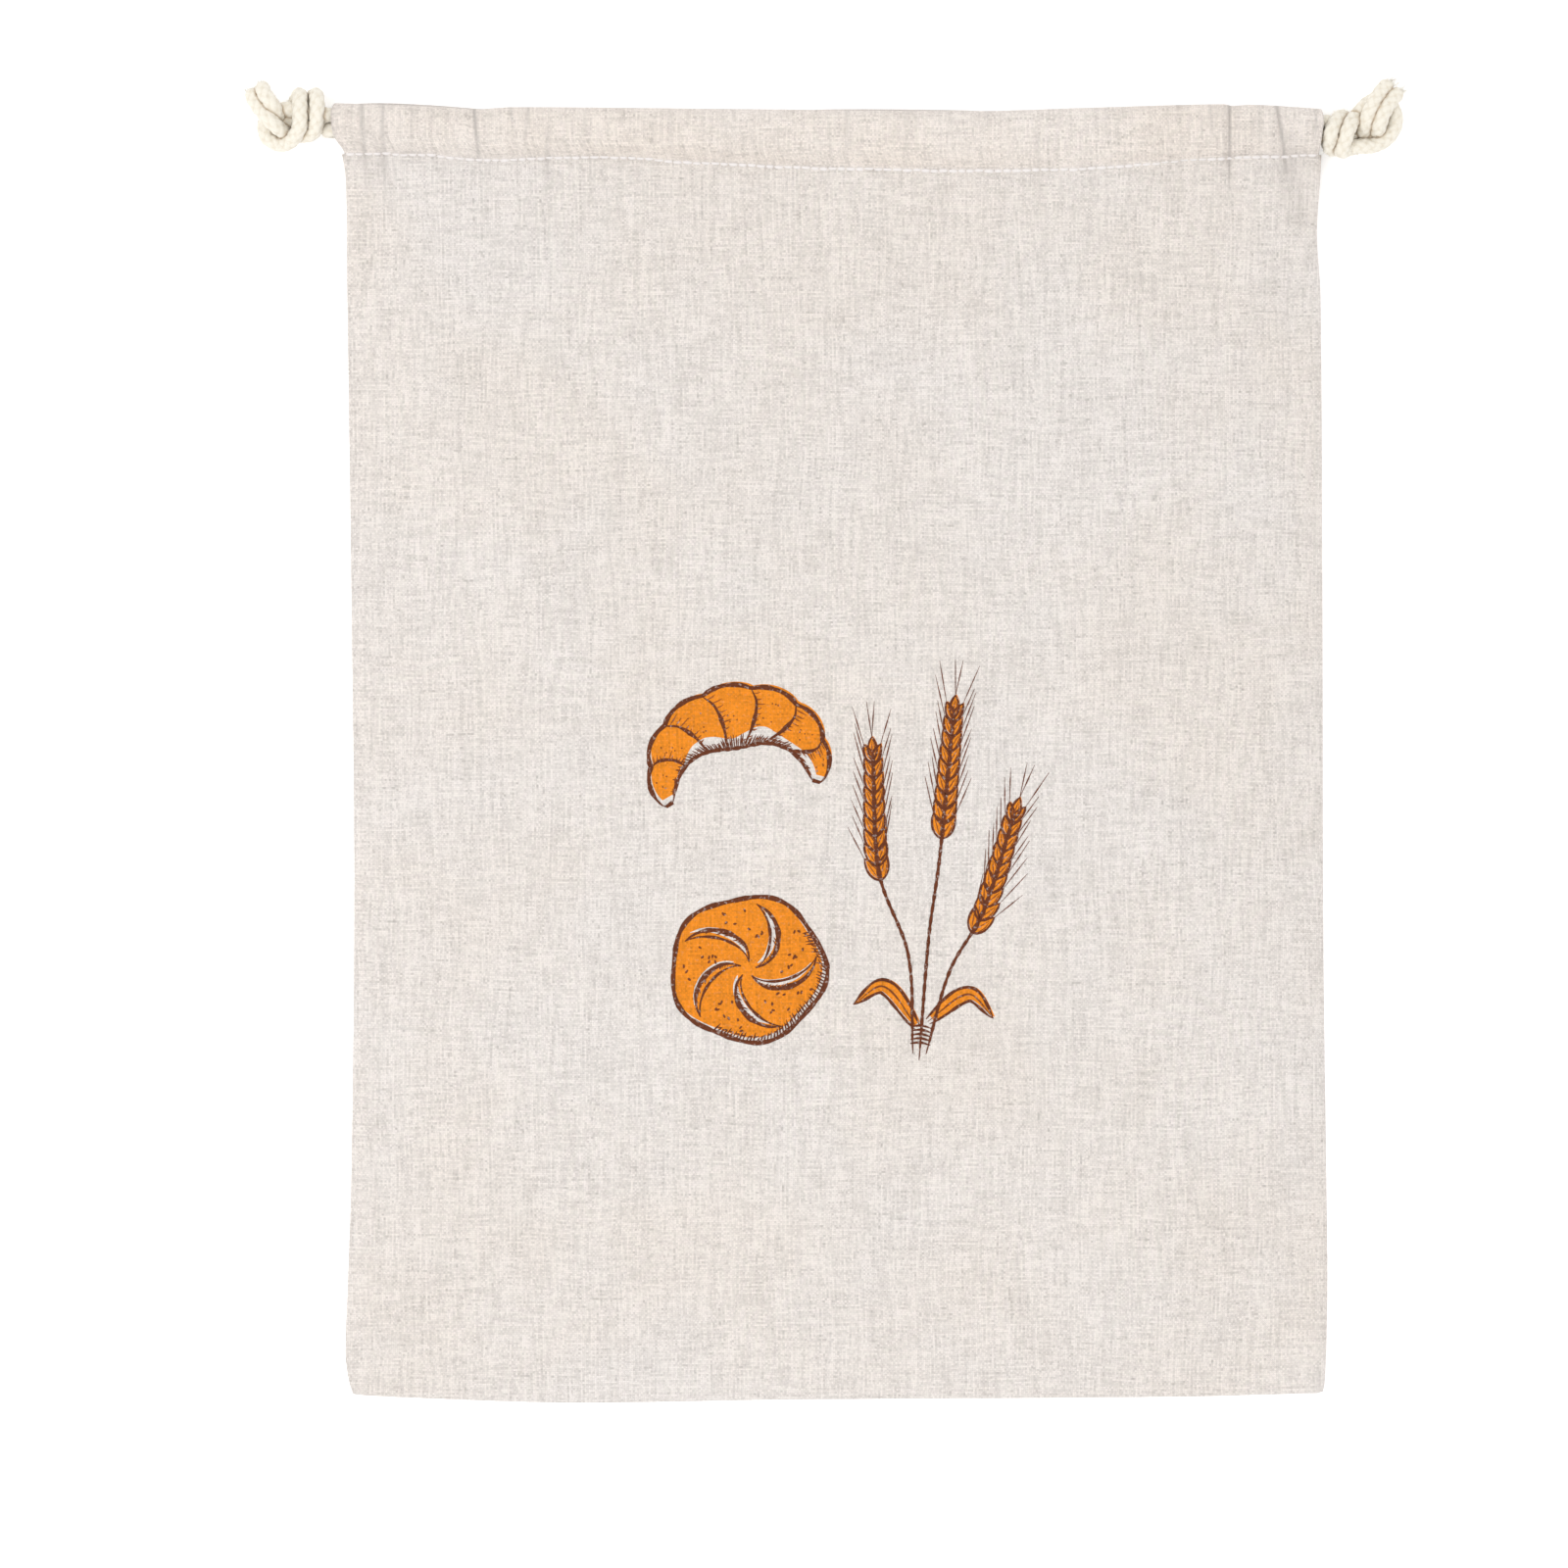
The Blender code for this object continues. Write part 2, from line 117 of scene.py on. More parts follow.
SUNK_STITCHES = (105.0, 10.0)  # where the stitches sink into the cloth: middle and reach
CASING_ENDS = (-151.8 * MM, 148.5 * MM)
LOOSE_ENDS = (-1.5 * MM, 1.3 * MM)  # how far the front casing's upper side reaches past its ends
LOOSE_RUN = 12.0 * MM
# Painted shade: the back casing is darkened this much where it stands out behind the front one.
BACK_SHADE = 0.55  # how dark the back casing is where it stands out behind the front one
END_FLARE = 6.0 * MM
PLUMPNESS = (  # (y, share of the full height)
    (-200, 0.0), (-180, 0.30), (-150, 0.56), (-110, 0.80), (-60, 0.95), (-20, 1.0),
    (120, 1.0), (184, 1.11),
)

# Folds pushed into the front and its casing, which also set the painted shade in its creases, one
# row each: x and y of a fold's top, x and y where it dies out, half width and depth, in millimetres
FOLDS = (
    (-144.0, 198, -142.5, 172, 1.8, 0.7),
    (-137.5, 198, -137.0, 168, 1.8, 0.6),
    (-128.4, 197, -129.0, 180, 1.4, 0.35),
    (-109.8, 198, -107.6, 177, 1.3, 1.1),
    (-98.8, 198, -97.6, 190, 1.3, 0.6),
    (-93.0, 198, -94.0, 184, 1.4, 0.4),
    (-87.0, 188, -87.5, 170, 2.0, 0.35),
    (-75.6, 197, -76.2, 184, 1.5, 0.35),
    (-50.0, 197, -49.0, 182, 1.8, 0.25),
    (4.5, 197, 4.0, 178, 1.5, 0.35),
    (22.0, 196, 22.5, 176, 1.6, 0.3),
    (47.0, 198, 47.5, 188, 1.4, 0.5),
    (62.0, 188, 62.5, 172, 2.0, 0.25),
    (115.2, 198, 115.6, 186, 1.3, 0.35),
    (120.9, 198, 121.2, 169, 1.2, 1.25),
    (130.0, 198, 130.4, 186, 1.4, 0.4),
    (135.4, 198, 140.0, 170, 1.5, 1.2),
    (139.5, 182, 146.0, 150, 4.5, 0.8),
    (147.0, 198, 147.4, 184, 1.4, 0.35),
)
FOLD_FADES = 0.45
FOLD_FADE_RUN = 0.7
FOLD_REACH = 16.0

# Broad soft swells and dents of the front below the casing: middle x and y, reach along x and y,
# and height, in millimetres
SWELLS = (
    (-132, 158, 7, 26, -0.35),
    (-118, 164, 8, 22, 0.30),
    (-88, 166, 6, 20, -0.30),
    (-70, 160, 9, 24, 0.25),
    (-32, 158, 7, 26, -0.30),
    (-14, 150, 9, 22, 0.25),
    (20, 160, 8, 20, -0.20),
    (58, 158, 8, 22, 0.25),
    (74, 162, 6, 20, -0.25),
    (104, 160, 8, 26, 0.30),
    (139, 146, 8, 18, -0.70),
    (126, 140, 9, 20, 0.35),
    (-60, 40, 50, 60, 0.35),
    (70, -20, 55, 50, -0.35),
    (-20, -120, 70, 40, 0.30),
    (90, 90, 40, 50, 0.30),
    (-110, -90, 30, 60, -0.30),
)

# Knots, as the line midway between the two strands, in cord diameters: distance out from the
# bag, up towards the mouth, height above the knot's middle, the way from one strand to the other
# and how far apart they lie. The last rows are the tails.
LEFT_KNOT = (
    (-0.10, 0.00, 0.00, 0.0, 0.0, 1.0, 1.9),
    (0.90, 0.00, 0.05, 0.0, 0.3, 1.0, 1.2),
    (1.90, 0.05, 0.10, 0.0, 0.8, 0.8, 1.0),
    (2.90, -0.10, 0.15, 0.2, 1.0, 0.3, 1.0),
    (3.60, -0.65, 0.10, 1.0, 0.6, 0.0, 1.0),
    (3.55, -1.35, -0.10, 0.9, -0.7, 0.2, 1.0),
    (2.80, -1.75, -0.20, 0.5, -1.0, 0.4, 1.0),
    (1.85, -1.70, 0.15, 0.8, -0.6, 0.6, 1.0),
    (0.88, -1.15, 1.05, 1.0, 0.0, 0.2, 1.2),
    (0.70, -0.10, 1.45, 1.0, 0.0, 0.0, 1.3),
    (0.72, 1.00, 1.15, 1.0, 0.0, 0.0, 1.3),
    (0.85, 1.55, 0.15, 1.0, 0.0, 0.0, 1.2),
    (1.25, 1.10, -0.95, 1.0, 0.2, 0.0, 1.0),
    (1.80, 0.20, -1.28, 1.0, 0.6, 0.0, 1.0),
    (2.45, -0.70, -0.95, 0.8, 1.0, 0.0, 1.0),
    (2.90, -0.80, 0.10, 0.6, 1.0, 0.0, 1.0),
    (3.35, -0.20, 1.05, 0.4, 1.0, 0.3, 1.0),
    (3.95, 0.60, 1.15, -0.4, 1.0, 0.3, 1.0),
    (4.50, 1.40, 0.75, -0.6, 1.0, 0.2, 1.0),
    (4.75, 2.10, 0.30, -0.8, 0.8, 0.0, 1.0),
)
RIGHT_KNOT = (
    (-0.10, 0.00, 0.00, 0.0, 0.0, 1.0, 1.9),
    (0.90, 0.10, 0.05, 0.0, 0.3, 1.0, 1.2),
    (1.80, 0.60, 0.05, 0.0, 0.8, 0.8, 1.0),
    (2.60, 1.50, 0.15, -0.8, 0.8, 0.3, 1.0),
    (3.40, 2.25, 0.20, -0.4, 1.0, 0.2, 1.0),
    (4.30, 2.05, 0.15, 0.9, 1.0, 0.0, 1.0),
    (4.55, 1.20, 0.00, 1.0, 0.1, 0.3, 1.0),
    (4.10, 0.30, -0.10, 0.9, -0.7, 0.4, 1.0),
    (3.20, -0.30, -0.10, 0.4, -0.8, 0.8, 1.0),
    (2.10, -0.60, 0.00, 0.0, -0.3, 1.0, 1.0),
    (1.20, -0.80, 0.10, 0.0, -0.3, 1.0, 1.0),
    (0.45, -0.98, 0.75, 1.0, -0.4, 0.2, 1.0),
    (0.54, -0.15, 1.50, 1.0, 0.0, 0.0, 1.15),
    (0.80, 0.65, 1.40, 1.0, 0.0, 0.0, 1.15),
    (1.28, 1.40, 0.60, 1.0, 0.0, 0.0, 1.1),
    (1.75, 1.45, -0.50, 1.0, 0.0, 0.2, 1.0),
    (2.00, 0.80, -1.27, 1.0, 0.4, 0.0, 1.0),
    (2.70, 0.30, -1.10, 0.6, 1.0, 0.0, 1.0),
    (3.10, 0.50, 0.10, 1.0, 0.0, 0.0, 1.0),
    (3.30, 1.20, 1.15, 1.0, -0.2, 0.2, 1.0),
    (3.70, 2.20, 1.35, 1.0, -0.4, 0.0, 1.0),
    (4.30, 3.10, 1.00, 1.0, -0.5, 0.0, 1.0),
    (4.90, 3.80, 0.60, 0.9, -0.6, 0.0, 1.0),
)
KNOT_STARTS = (5.7 * MM, 3.5 * MM)
KNOT_Z = 1.865 * CORD


# ---------------------------------------------------------------- shared shapes of the bag


def along(table, at):
    """The value at a place, read from a smooth curve through a table's rows."""
    if at <= table[0][0]:
        return table[0][1]
    if at >= table[-1][0]:
        return table[-1][1]
    i = next(k for k in range(len(table) - 1) if at < table[k + 1][0])
    (x0, v0), (x1, v1) = table[i], table[i + 1]

    def slope(k):
        low, high = table[max(k - 1, 0)], table[min(k + 1, len(table) - 1)]
        return (high[1] - low[1]) / (high[0] - low[0])

    run = x1 - x0
    t = (at - x0) / run
    return (
        v0 * (2 * t**3 - 3 * t**2 + 1)
        + v1 * (3 * t**2 - 2 * t**3)
        + slope(i) * run * (t**3 - 2 * t**2 + t)
        + slope(i + 1) * run * (t**3 - t**2)
    )


def edge(table, at):
    """A place on an outline, in metres."""
    return along(table, at / MM) * MM


def smooth(t):
    t = min(max(t, 0.0), 1.0)
    return t * t * (3 - 2 * t)


def across(x):
    """1 over the middle of the bag, falling to 0 at its side seams."""
    return max(0.0, 1 - min(abs(x) / HALF_WIDTH, 1.0) ** 4) ** 0.9


def folds_near(x, y):
    """For each fold that a place may be in: how far down it the place is, as a share, how far
    aside of its middle, what is left of the fold there, and its half width and depth."""
    for top_x, top_y, end_x, end_y, half_width, deep in FOLDS:
        down = (top_y - y / MM) / (top_y - end_y)
        if down < FOLD_FADES + FOLD_FADE_RUN and abs(x / MM - top_x) <= FOLD_REACH:
            middle = top_x + (end_x - top_x) * max(down, 0.0)
            left = 1 - smooth((down - FOLD_FADES) / FOLD_FADE_RUN)
            yield down, x / MM - middle, left, half_width, deep


def fold_depth(x, y):
    """How far the folds press the front in at a place."""
    depth = 0.0
    for _, aside, left, half_width, deep in folds_near(x, y):
        depth = max(depth, math.exp(-((aside / half_width) ** 2)) * left * deep * MM)
    return depth


def crease_shade_at(x, y):
    """How much painted shade the creases give a place, from 0 to 1. Wide folds count for little."""
    sharp = 0.0
    for down, aside, left, half_width, deep in folds_near(x, y):
        if down > -0.2:
            reach, share = (0.8, 0.4) if half_width > 2 else (0.42, 1.0)
            near = math.exp(-((aside / (half_width * reach)) ** 2)) * left
            sharp = max(sharp, near * min(deep, 1.0) * share)
    return sharp


def swell(x, y):
    """How far the soft swells lift the front at a place."""
    rise = 0.0
    for mid_x, mid_y, reach_x, reach_y, high in SWELLS:
        far = ((x / MM - mid_x) / reach_x) ** 2 + ((y / MM - mid_y) / reach_y) ** 2
        if far < 6:
            rise += high * math.exp(-far)
    return rise * MM


def seam_height(y):
    return FOLD_EDGE + (SEAM_TOP - FOLD_EDGE) * smooth(1 - (SEAM_END_Y - y) / SEAM_OPENS)


def front_height(x, y):
    low = seam_height(y)
    high = FOLD_EDGE + (PLUMP - FOLD_EDGE) * along(PLUMPNESS, y / MM)
    high = max(high, low)
    return low + (high - low) * across(x) - fold_depth(x, y)


def back_height(x, y):
    foot_of_rise = edge(STITCHING, x) - BACK_LIFT_RUN
    return CLOTH / 2 + BACK_LIFT * smooth((y - foot_of_rise) / BACK_LIFT_RUN)


def front_cord_height(x):
    """Height of the cords' line in the front casing, which lies on the back one at its ends."""
    gap = MOUTH_END_GAP + (MOUTH_GAP - MOUTH_END_GAP) * across(x)
    return BACK_TOP_Z + CLOTH + gap + TUNNEL_HALF


# ---------------------------------------------------------------- small helpers


def piece(name, data, material):
    """A finished piece of the bag, at the origin and riding on it."""
    made = bpy.data.objects.new(name, data)
    bpy.context.scene.collection.objects.link(made)
    data.materials.append(material)
    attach(made, "root")
    return made


def finished_mesh(name, mesh):
    """Mesh data from a bmesh that is done, shaded smooth."""
    data = bpy.data.meshes.new(name)
    mesh.to_mesh(data)
    mesh.free()
    data.shade_smooth()
    return data


def deselect_all():
    if bpy.context.mode != "OBJECT":
        bpy.ops.object.mode_set(mode="OBJECT")
    bpy.ops.object.select_all(action="DESELECT")


def make_active(obj):
    deselect_all()
    obj.select_set(True)
    bpy.context.view_layer.objects.active = obj


def node(tree, kind, inputs=(), **settings):
    """A shader node. Its inputs are given by name or number, as values or as other sockets."""
    made = tree.nodes.new(kind)
    for name, value in settings.items():
        setattr(made, name, value)
    for key, value in dict(inputs).items():
        if isinstance(value, bpy.types.NodeSocket):
            tree.links.new(value, made.inputs[key])
        else:
            made.inputs[key].default_value = value
    return made


def maths(tree, operation, *values, clamp=False):
    inputs = dict(enumerate(values))
    return node(tree, "ShaderNodeMath", inputs, operation=operation, use_clamp=clamp).outputs[0]


def mix(tree, factor, a, b, blend="MIX"):
    made = node(
        tree, "ShaderNodeMix", {0: factor, 6: a, 7: b}, data_type="RGBA", blend_type=blend
    )
    return made.outputs[2]


def new_group(name, inputs, outputs):
    """An empty shader node group with named inputs and outputs, and its two ends."""
    group = bpy.data.node_groups.new(name, "ShaderNodeTree")
    for label, kind, value in inputs:
        socket = group.interface.new_socket(label, in_out="INPUT", socket_type=kind)
        if value is not None:
            socket.default_value = value
    for label, kind in outputs:
        group.interface.new_socket(label, in_out="OUTPUT", socket_type=kind)
    return group, node(group, "NodeGroupInput").outputs, node(group, "NodeGroupOutput").inputs


def effect(tree, name, inputs):
    """The outputs of one of the shared effects, with these inputs."""
    return node(tree, "ShaderNodeGroup", inputs, node_tree=bpy.data.node_groups[name]).outputs


def ramp(tree, value, start, end, low=0.0, high=1.0):
    """A value mapped from one range to another, and held at its ends."""
    made = node(tree, "ShaderNodeMapRange", {0: value, 1: start, 2: end, 3: low, 4: high})
    return made.outputs[0]


def noise(tree, vector, scale, detail, dimensions="3D", **more):
    inputs = {"Vector": vector, "Scale": scale, "Detail": detail, **more}
    return node(tree, "ShaderNodeTexNoise", inputs, noise_dimensions=dimensions).outputs


def kept(tree, name):
    """A value that the mesh keeps at its points."""
    return node(tree, "ShaderNodeAttribute", attribute_name=name).outputs["Fac"]


def object_place(tree):
    return node(tree, "ShaderNodeTexCoord").outputs["Object"]


def cloth_place(tree):
    """The place on the flat cloth, in metres."""
    return node(tree, "ShaderNodeUVMap", uv_map="cloth").outputs[0]


def bump(tree, height, distance, **more):
    inputs = {"Height": height, "Distance": distance, **more}
    return node(tree, "ShaderNodeBump", inputs).outputs[0]


def new_material(name, roughness, sheen=0.0, specular=0.3):
    """A material with its Principled shader, the numbers set on the shader's own sockets."""
    made = bpy.data.materials.new(name)
    made.use_nodes = True
    shader = made.node_tree.nodes["Principled BSDF"]
    shader.inputs["Roughness"].default_value = roughness
    shader.inputs["Specular IOR Level"].default_value = specular
    shader.inputs["Sheen Weight"].default_value = sheen
    shader.inputs["Sheen Roughness"].default_value = 0.5
    return made, made.node_tree, shader.inputs


# ---------------------------------------------------------------- the effects materials share


def weave_group():
    """Plain weave of uneven threads. Each thread has its own tone, which drifts along it."""
    value, colour = "NodeSocketFloat", "NodeSocketColor"
    group, given, out = new_group(
        "linen weave",
        [
            ("Vector", "NodeSocketVector", None),
            ("Threads per metre", value, 1600.0),
            ("Slub strength", value, 1.0),
            ("Light thread", colour, (0.86, 0.82, 0.78, 1)),
            ("Dark thread", colour, (0.50, 0.45, 0.41, 1)),
            ("Warm patch", colour, (1.0, 0.97, 0.93, 1)),
        ],
        [("Color", colour), ("Height", value)],
    )

    def vector_maths(operation, inputs):
        return node(group, "ShaderNodeVectorMath", inputs, operation=operation).outputs[0]

    wander = noise(group, given["Vector"], 22.0, 1.0, "2D")["Color"]
    shift = vector_maths("SUBTRACT", {0: wander, 1: (0.5, 0.5, 0.5)})
    shift = vector_maths("SCALE", {0: shift, "Scale": THREAD_WANDER})
    moved = vector_maths("ADD", {0: given["Vector"], 1: shift})
    ends = node(group, "ShaderNodeSeparateXYZ", {0: moved}).outputs
    crosswise, lengthwise = [
        maths(group, "MULTIPLY", ends[k], given["Threads per metre"]) for k in (0, 1)
    ]
    warp, weft = maths(group, "FLOOR", crosswise), maths(group, "FLOOR", lengthwise)

    def thread_tone(index, run, seed, long):
        """Tone of a thread about 0, which drifts over this many threads and is finely mottled."""
        place = node(group, "ShaderNodeCombineXYZ", {
            0: maths(group, "MULTIPLY", index, 3.71), 1: maths(group, "DIVIDE", run, long),
            2: seed})
        drift = noise(group, place.outputs[0], 1.0, 1.0, Roughness=1.0, Lacunarity=13.0)
        return maths(group, "SUBTRACT", drift[0], 0.5)

    warp_tone = thread_tone(warp, lengthwise, 1.3, 18.0)
    weft_tone = thread_tone(weft, crosswise, 7.9, 15.0)
    parity = maths(group, "MODULO", maths(group, "ADD", warp, weft), 2.0)
    on_top = ramp(group, maths(group, "ABSOLUTE", parity), 0.0, 1.0, 0.25, 0.75)
    tone = node(group, "ShaderNodeMix", {0: on_top, 2: warp_tone, 3: weft_tone}).outputs[0]
    tone = maths(group, "MULTIPLY", tone, given["Slub strength"])

    flecks = []
    for index, run, seed in ((warp, lengthwise, 51.0), (weft, crosswise, 64.0)):
        fleck = thread_tone(index, run, seed, 30.0)
        flecks.append(ramp(group, fleck, 0.17, 0.26))
    fleck = maths(group, "MAXIMUM", *flecks)

    arches = []
    for run in (crosswise, lengthwise):
        wave = maths(group, "SINE", maths(group, "MULTIPLY", run, math.pi))
        arches.append(maths(group, "ABSOLUTE", wave))
    crown = maths(group, "POWER", maths(group, "MULTIPLY", *arches), 0.45)
    gaps = ramp(group, crown, 0.25, 0.6, 1.0, 0.0)

    share = maths(group, "MULTIPLY_ADD", tone, 2.0, 0.76, clamp=True)
    shade = mix(group, share, given["Dark thread"], given["Light thread"])
    marks = maths(group, "MAXIMUM", maths(group, "MULTIPLY", gaps, 0.10),
                  maths(group, "MULTIPLY", fleck, 0.55))
    shade = mix(group, marks, shade, given["Dark thread"])
    patches = ramp(group, noise(group, given["Vector"], 16.0, 3.0, "2D")[0], 0.35, 0.65)
    shade = mix(group, patches, shade, mix(group, 1.0, shade, given["Warm patch"], "MULTIPLY"))
    group.links.new(shade, out["Color"])
    height = maths(group, "MULTIPLY_ADD", tone, 0.8, crown)
    group.links.new(height, out["Height"])


def fibre_group():
    """Fine spun fibre: short soft streaks along a thread, and a little fluff."""
    value, colour = "NodeSocketFloat", "NodeSocketColor"
    group, given, out = new_group(
        "spun fibre",
        [
            ("Vector", "NodeSocketVector", None),
            ("Grain", value, 900.0),
            ("Light", colour, (0.9, 0.86, 0.76, 1)),
            ("Dark", colour, (0.6, 0.52, 0.4, 1)),
            ("Depth", value, 0.5),
        ],
        [("Color", colour), ("Height", value)],
    )
    grain = noise(group, given["Vector"], given["Grain"], 4.0, Roughness=0.65)[0]
    tone = maths(group, "MULTIPLY_ADD", maths(group, "SUBTRACT", grain, 0.5),
                 given["Depth"], 0.85, clamp=True)
    group.links.new(mix(group, tone, given["Dark"], given["Light"]), out["Color"])
    group.links.new(grain, out["Height"])


def weave_in(tree, settings):
    """The weave, placed on a piece's own map of the cloth in metres."""
    return effect(tree, "linen weave", {
        "Vector": cloth_place(tree),
        "Threads per metre": 1 / settings.thread_pitch,
        "Slub strength": settings.slub_strength,
        "Light thread": (*settings.light_thread, 1),
        "Dark thread": (*settings.dark_thread_and_shade, 1),
        "Warm patch": (*settings.warm_patch, 1),
    })


# ---------------------------------------------------------------- settings


class BreadBagCloth(bpy.types.PropertyGroup):
    thickness: bpy.props.FloatProperty(
        name="Linen thickness", description="Thickness of one layer of linen",
        default=0.8 * MM, min=0.3 * MM, max=1.2 * MM, unit="LENGTH")
    pitch: bpy.props.FloatProperty(
        name="Mesh pitch", description="Distance between the points that shape the cloth",
        default=5.6 * MM, min=2 * MM, max=10 * MM, unit="LENGTH")
    thread_pitch: bpy.props.FloatProperty(
        name="Thread pitch", description="Distance from one thread of the weave to the next",
        default=0.62 * MM, min=0.3 * MM, max=2 * MM, unit="LENGTH")
    slub_strength: bpy.props.FloatProperty(
        name="Slubs", description="How uneven the threads are in tone and thickness",
        default=1.0, min=0.0, max=2.0, subtype="FACTOR")
    light_thread: bpy.props.FloatVectorProperty(
        name="Light thread", description="Colour of the palest threads",
        default=(0.825, 0.775, 0.74), size=3, min=0, max=1, subtype="COLOR")
    dark_thread_and_shade: bpy.props.FloatVectorProperty(
        # The darkest threads' colour, which the painted shade in creases also darkens towards.
        name="Dark thread", description="Colour of the darkest threads",
        default=(0.42, 0.385, 0.36), size=3, min=0, max=1, subtype="COLOR")
    warm_patch: bpy.props.FloatVectorProperty(
        name="Warm patches", description="Tint of the slightly warmer patches",
        default=(1.0, 0.985, 0.965), size=3, min=0, max=1, subtype="COLOR")
    doubled_tint: bpy.props.FloatVectorProperty(
        name="Doubled cloth", description="Tint where the cloth lies double, as in the casings",
        default=(1.03, 1.012, 0.99), size=3, min=0, max=1.2, subtype="COLOR")
    allowance: bpy.props.FloatProperty(
        name="Seam allowance", description="Width of the turned cloth inside a side seam",
        default=8.5 * MM, min=4 * MM, max=20 * MM, unit="LENGTH")


class BreadBagCords(bpy.types.PropertyGroup):
    diameter: bpy.props.FloatProperty(
        name="Cord diameter", description="Thickness of a braided drawcord",
        default=CORD, min=2 * MM, max=5 * MM, unit="LENGTH")
    braid_pitch: bpy.props.FloatProperty(
        name="Braid pitch", description="Length over which a yarn goes once round the cord",
        default=13 * MM, min=4 * MM, max=40 * MM, unit="LENGTH")
    relief: bpy.props.FloatProperty(
        name="Braid relief", description="How deep the braid's hollows are",
        default=0.32 * MM, min=0, max=1 * MM, unit="LENGTH")
    knot_swell: bpy.props.FloatProperty(
        name="Knot swell", description="How much thicker the loose cord is in its knot",
        default=1.22, min=1.0, max=1.3, subtype="FACTOR")
    fluff: bpy.props.IntProperty(
        name="Fluff", description="Loose fibres on the surface of the right knot",
        default=900, min=0, max=3000)
    light_yarn: bpy.props.FloatVectorProperty(
        name="Light yarn", description="Colour of the cotton in the light",
        default=(0.835, 0.795, 0.705), size=3, min=0, max=1, subtype="COLOR")
    # The yarns' darker mottle, and the painted shade in the braid's hollows.
    dark_yarn_and_shade: bpy.props.FloatVectorProperty(
        name="Dark yarn", description="Colour of the cotton between two yarns",
        default=(0.69, 0.62, 0.50), size=3, min=0, max=1, subtype="COLOR")
    # Colour of the painted shade where a knot's turns lie close together.
    between: bpy.props.FloatVectorProperty(
        name="Between turns", description="Colour of the cotton where a knot's turns press together",
        default=(0.42, 0.30, 0.17), size=3, min=0, max=1, subtype="COLOR")


class BreadBagStitches(bpy.types.PropertyGroup):
    length: bpy.props.FloatProperty(
        name="Stitch length", description="Length of one stitch on top of the cloth",
        default=2.7 * MM, min=1 * MM, max=6 * MM, unit="LENGTH")
    gap: bpy.props.FloatProperty(
        name="Stitch gap", description="Distance between two stitches",
        default=0.12 * MM, min=0.0, max=3 * MM, unit="LENGTH")
    thickness: bpy.props.FloatProperty(
        name="Thread thickness", description="Thickness of the sewing thread",
        default=1.2 * MM, min=0.2 * MM, max=1.5 * MM, unit="LENGTH")
    colour: bpy.props.FloatVectorProperty(
        name="Thread colour", description="Colour of the sewing thread",
        default=(0.81, 0.77, 0.755), size=3, min=0, max=1, subtype="COLOR")


class BreadBagPrint(bpy.types.PropertyGroup):
    orange: bpy.props.FloatVectorProperty(
        name="Orange ink", description="Colour of the flat areas",
        default=(0.77, 0.24, 0.013), size=3, min=0, max=1, subtype="COLOR")
    brown: bpy.props.FloatVectorProperty(
        name="Brown ink", description="Colour of the drawn lines",
        default=(0.13, 0.034, 0.012), size=3, min=0, max=1, subtype="COLOR")
    thin_brown: bpy.props.FloatVectorProperty(
        name="Thin brown ink", description="Colour of the finest lines, where the ink is thin",
        default=(0.34, 0.09, 0.02), size=3, min=0, max=1, subtype="COLOR")
    bare: bpy.props.FloatProperty(
        name="Bare threads", description="How far the linen shows where the ink missed it",
        default=0.3, min=0, max=1, subtype="FACTOR")


class BreadBagStage(bpy.types.PropertyGroup):
    view_width: bpy.props.FloatProperty(
        name="View width", description="Width of the floor that the camera sees",
        default=480 * MM, min=0.2, max=2, unit="LENGTH")
    lens: bpy.props.FloatProperty(
        name="Lens", description="Focal length of the camera in millimetres",
        default=200.0, min=35, max=400, subtype="NONE")
    floor_colour: bpy.props.FloatVectorProperty(
        name="Floor colour", description="Colour of the pale floor",
        default=(0.95, 0.95, 0.95), size=3, min=0, max=1, subtype="COLOR")
    light_power: bpy.props.FloatProperty(
        name="Light power", description="Power of the large soft light above", default=20.0,
        min=0, max=500, unit="POWER")
    sky: bpy.props.FloatProperty(
        name="Sky light", description="Strength of the even light from all round",
        default=0.97, min=0, max=3, subtype="FACTOR")
    floor_glow: bpy.props.FloatProperty(
        name="Floor glow", description="Light that the floor gives out, which softens shadows",
        default=0.25, min=0, max=1, subtype="FACTOR")


# ---------------------------------------------------------------- the stage


def look_from_above(stage):
    """The camera straight above the frame's middle, looking down."""
    lens = bpy.data.cameras.new("camera")
    lens.lens, lens.sensor_width = stage.lens, 36.0
    high = stage.view_width * stage.lens / 36.0 + 8 * MM
    lens.clip_start, lens.clip_end = 0.05, high * 4
    camera = bpy.data.objects.new("camera", lens)
    camera.location = (-15.0 * MM, -9.45 * MM, high)
    bpy.context.scene.collection.objects.link(camera)
    bpy.context.scene.camera = camera


def soft_light(name, place, size, power):
    """A large round light that shines at the bag's middle."""
    lamp = bpy.data.lights.new(name, "AREA")
    lamp.shape, lamp.size, lamp.energy = "DISK", size, power
    made = bpy.data.objects.new(name, lamp)
    made.location = place
    made.rotation_euler = (-Vector(place)).to_track_quat("-Z", "Y").to_euler()
    bpy.context.scene.collection.objects.link(made)


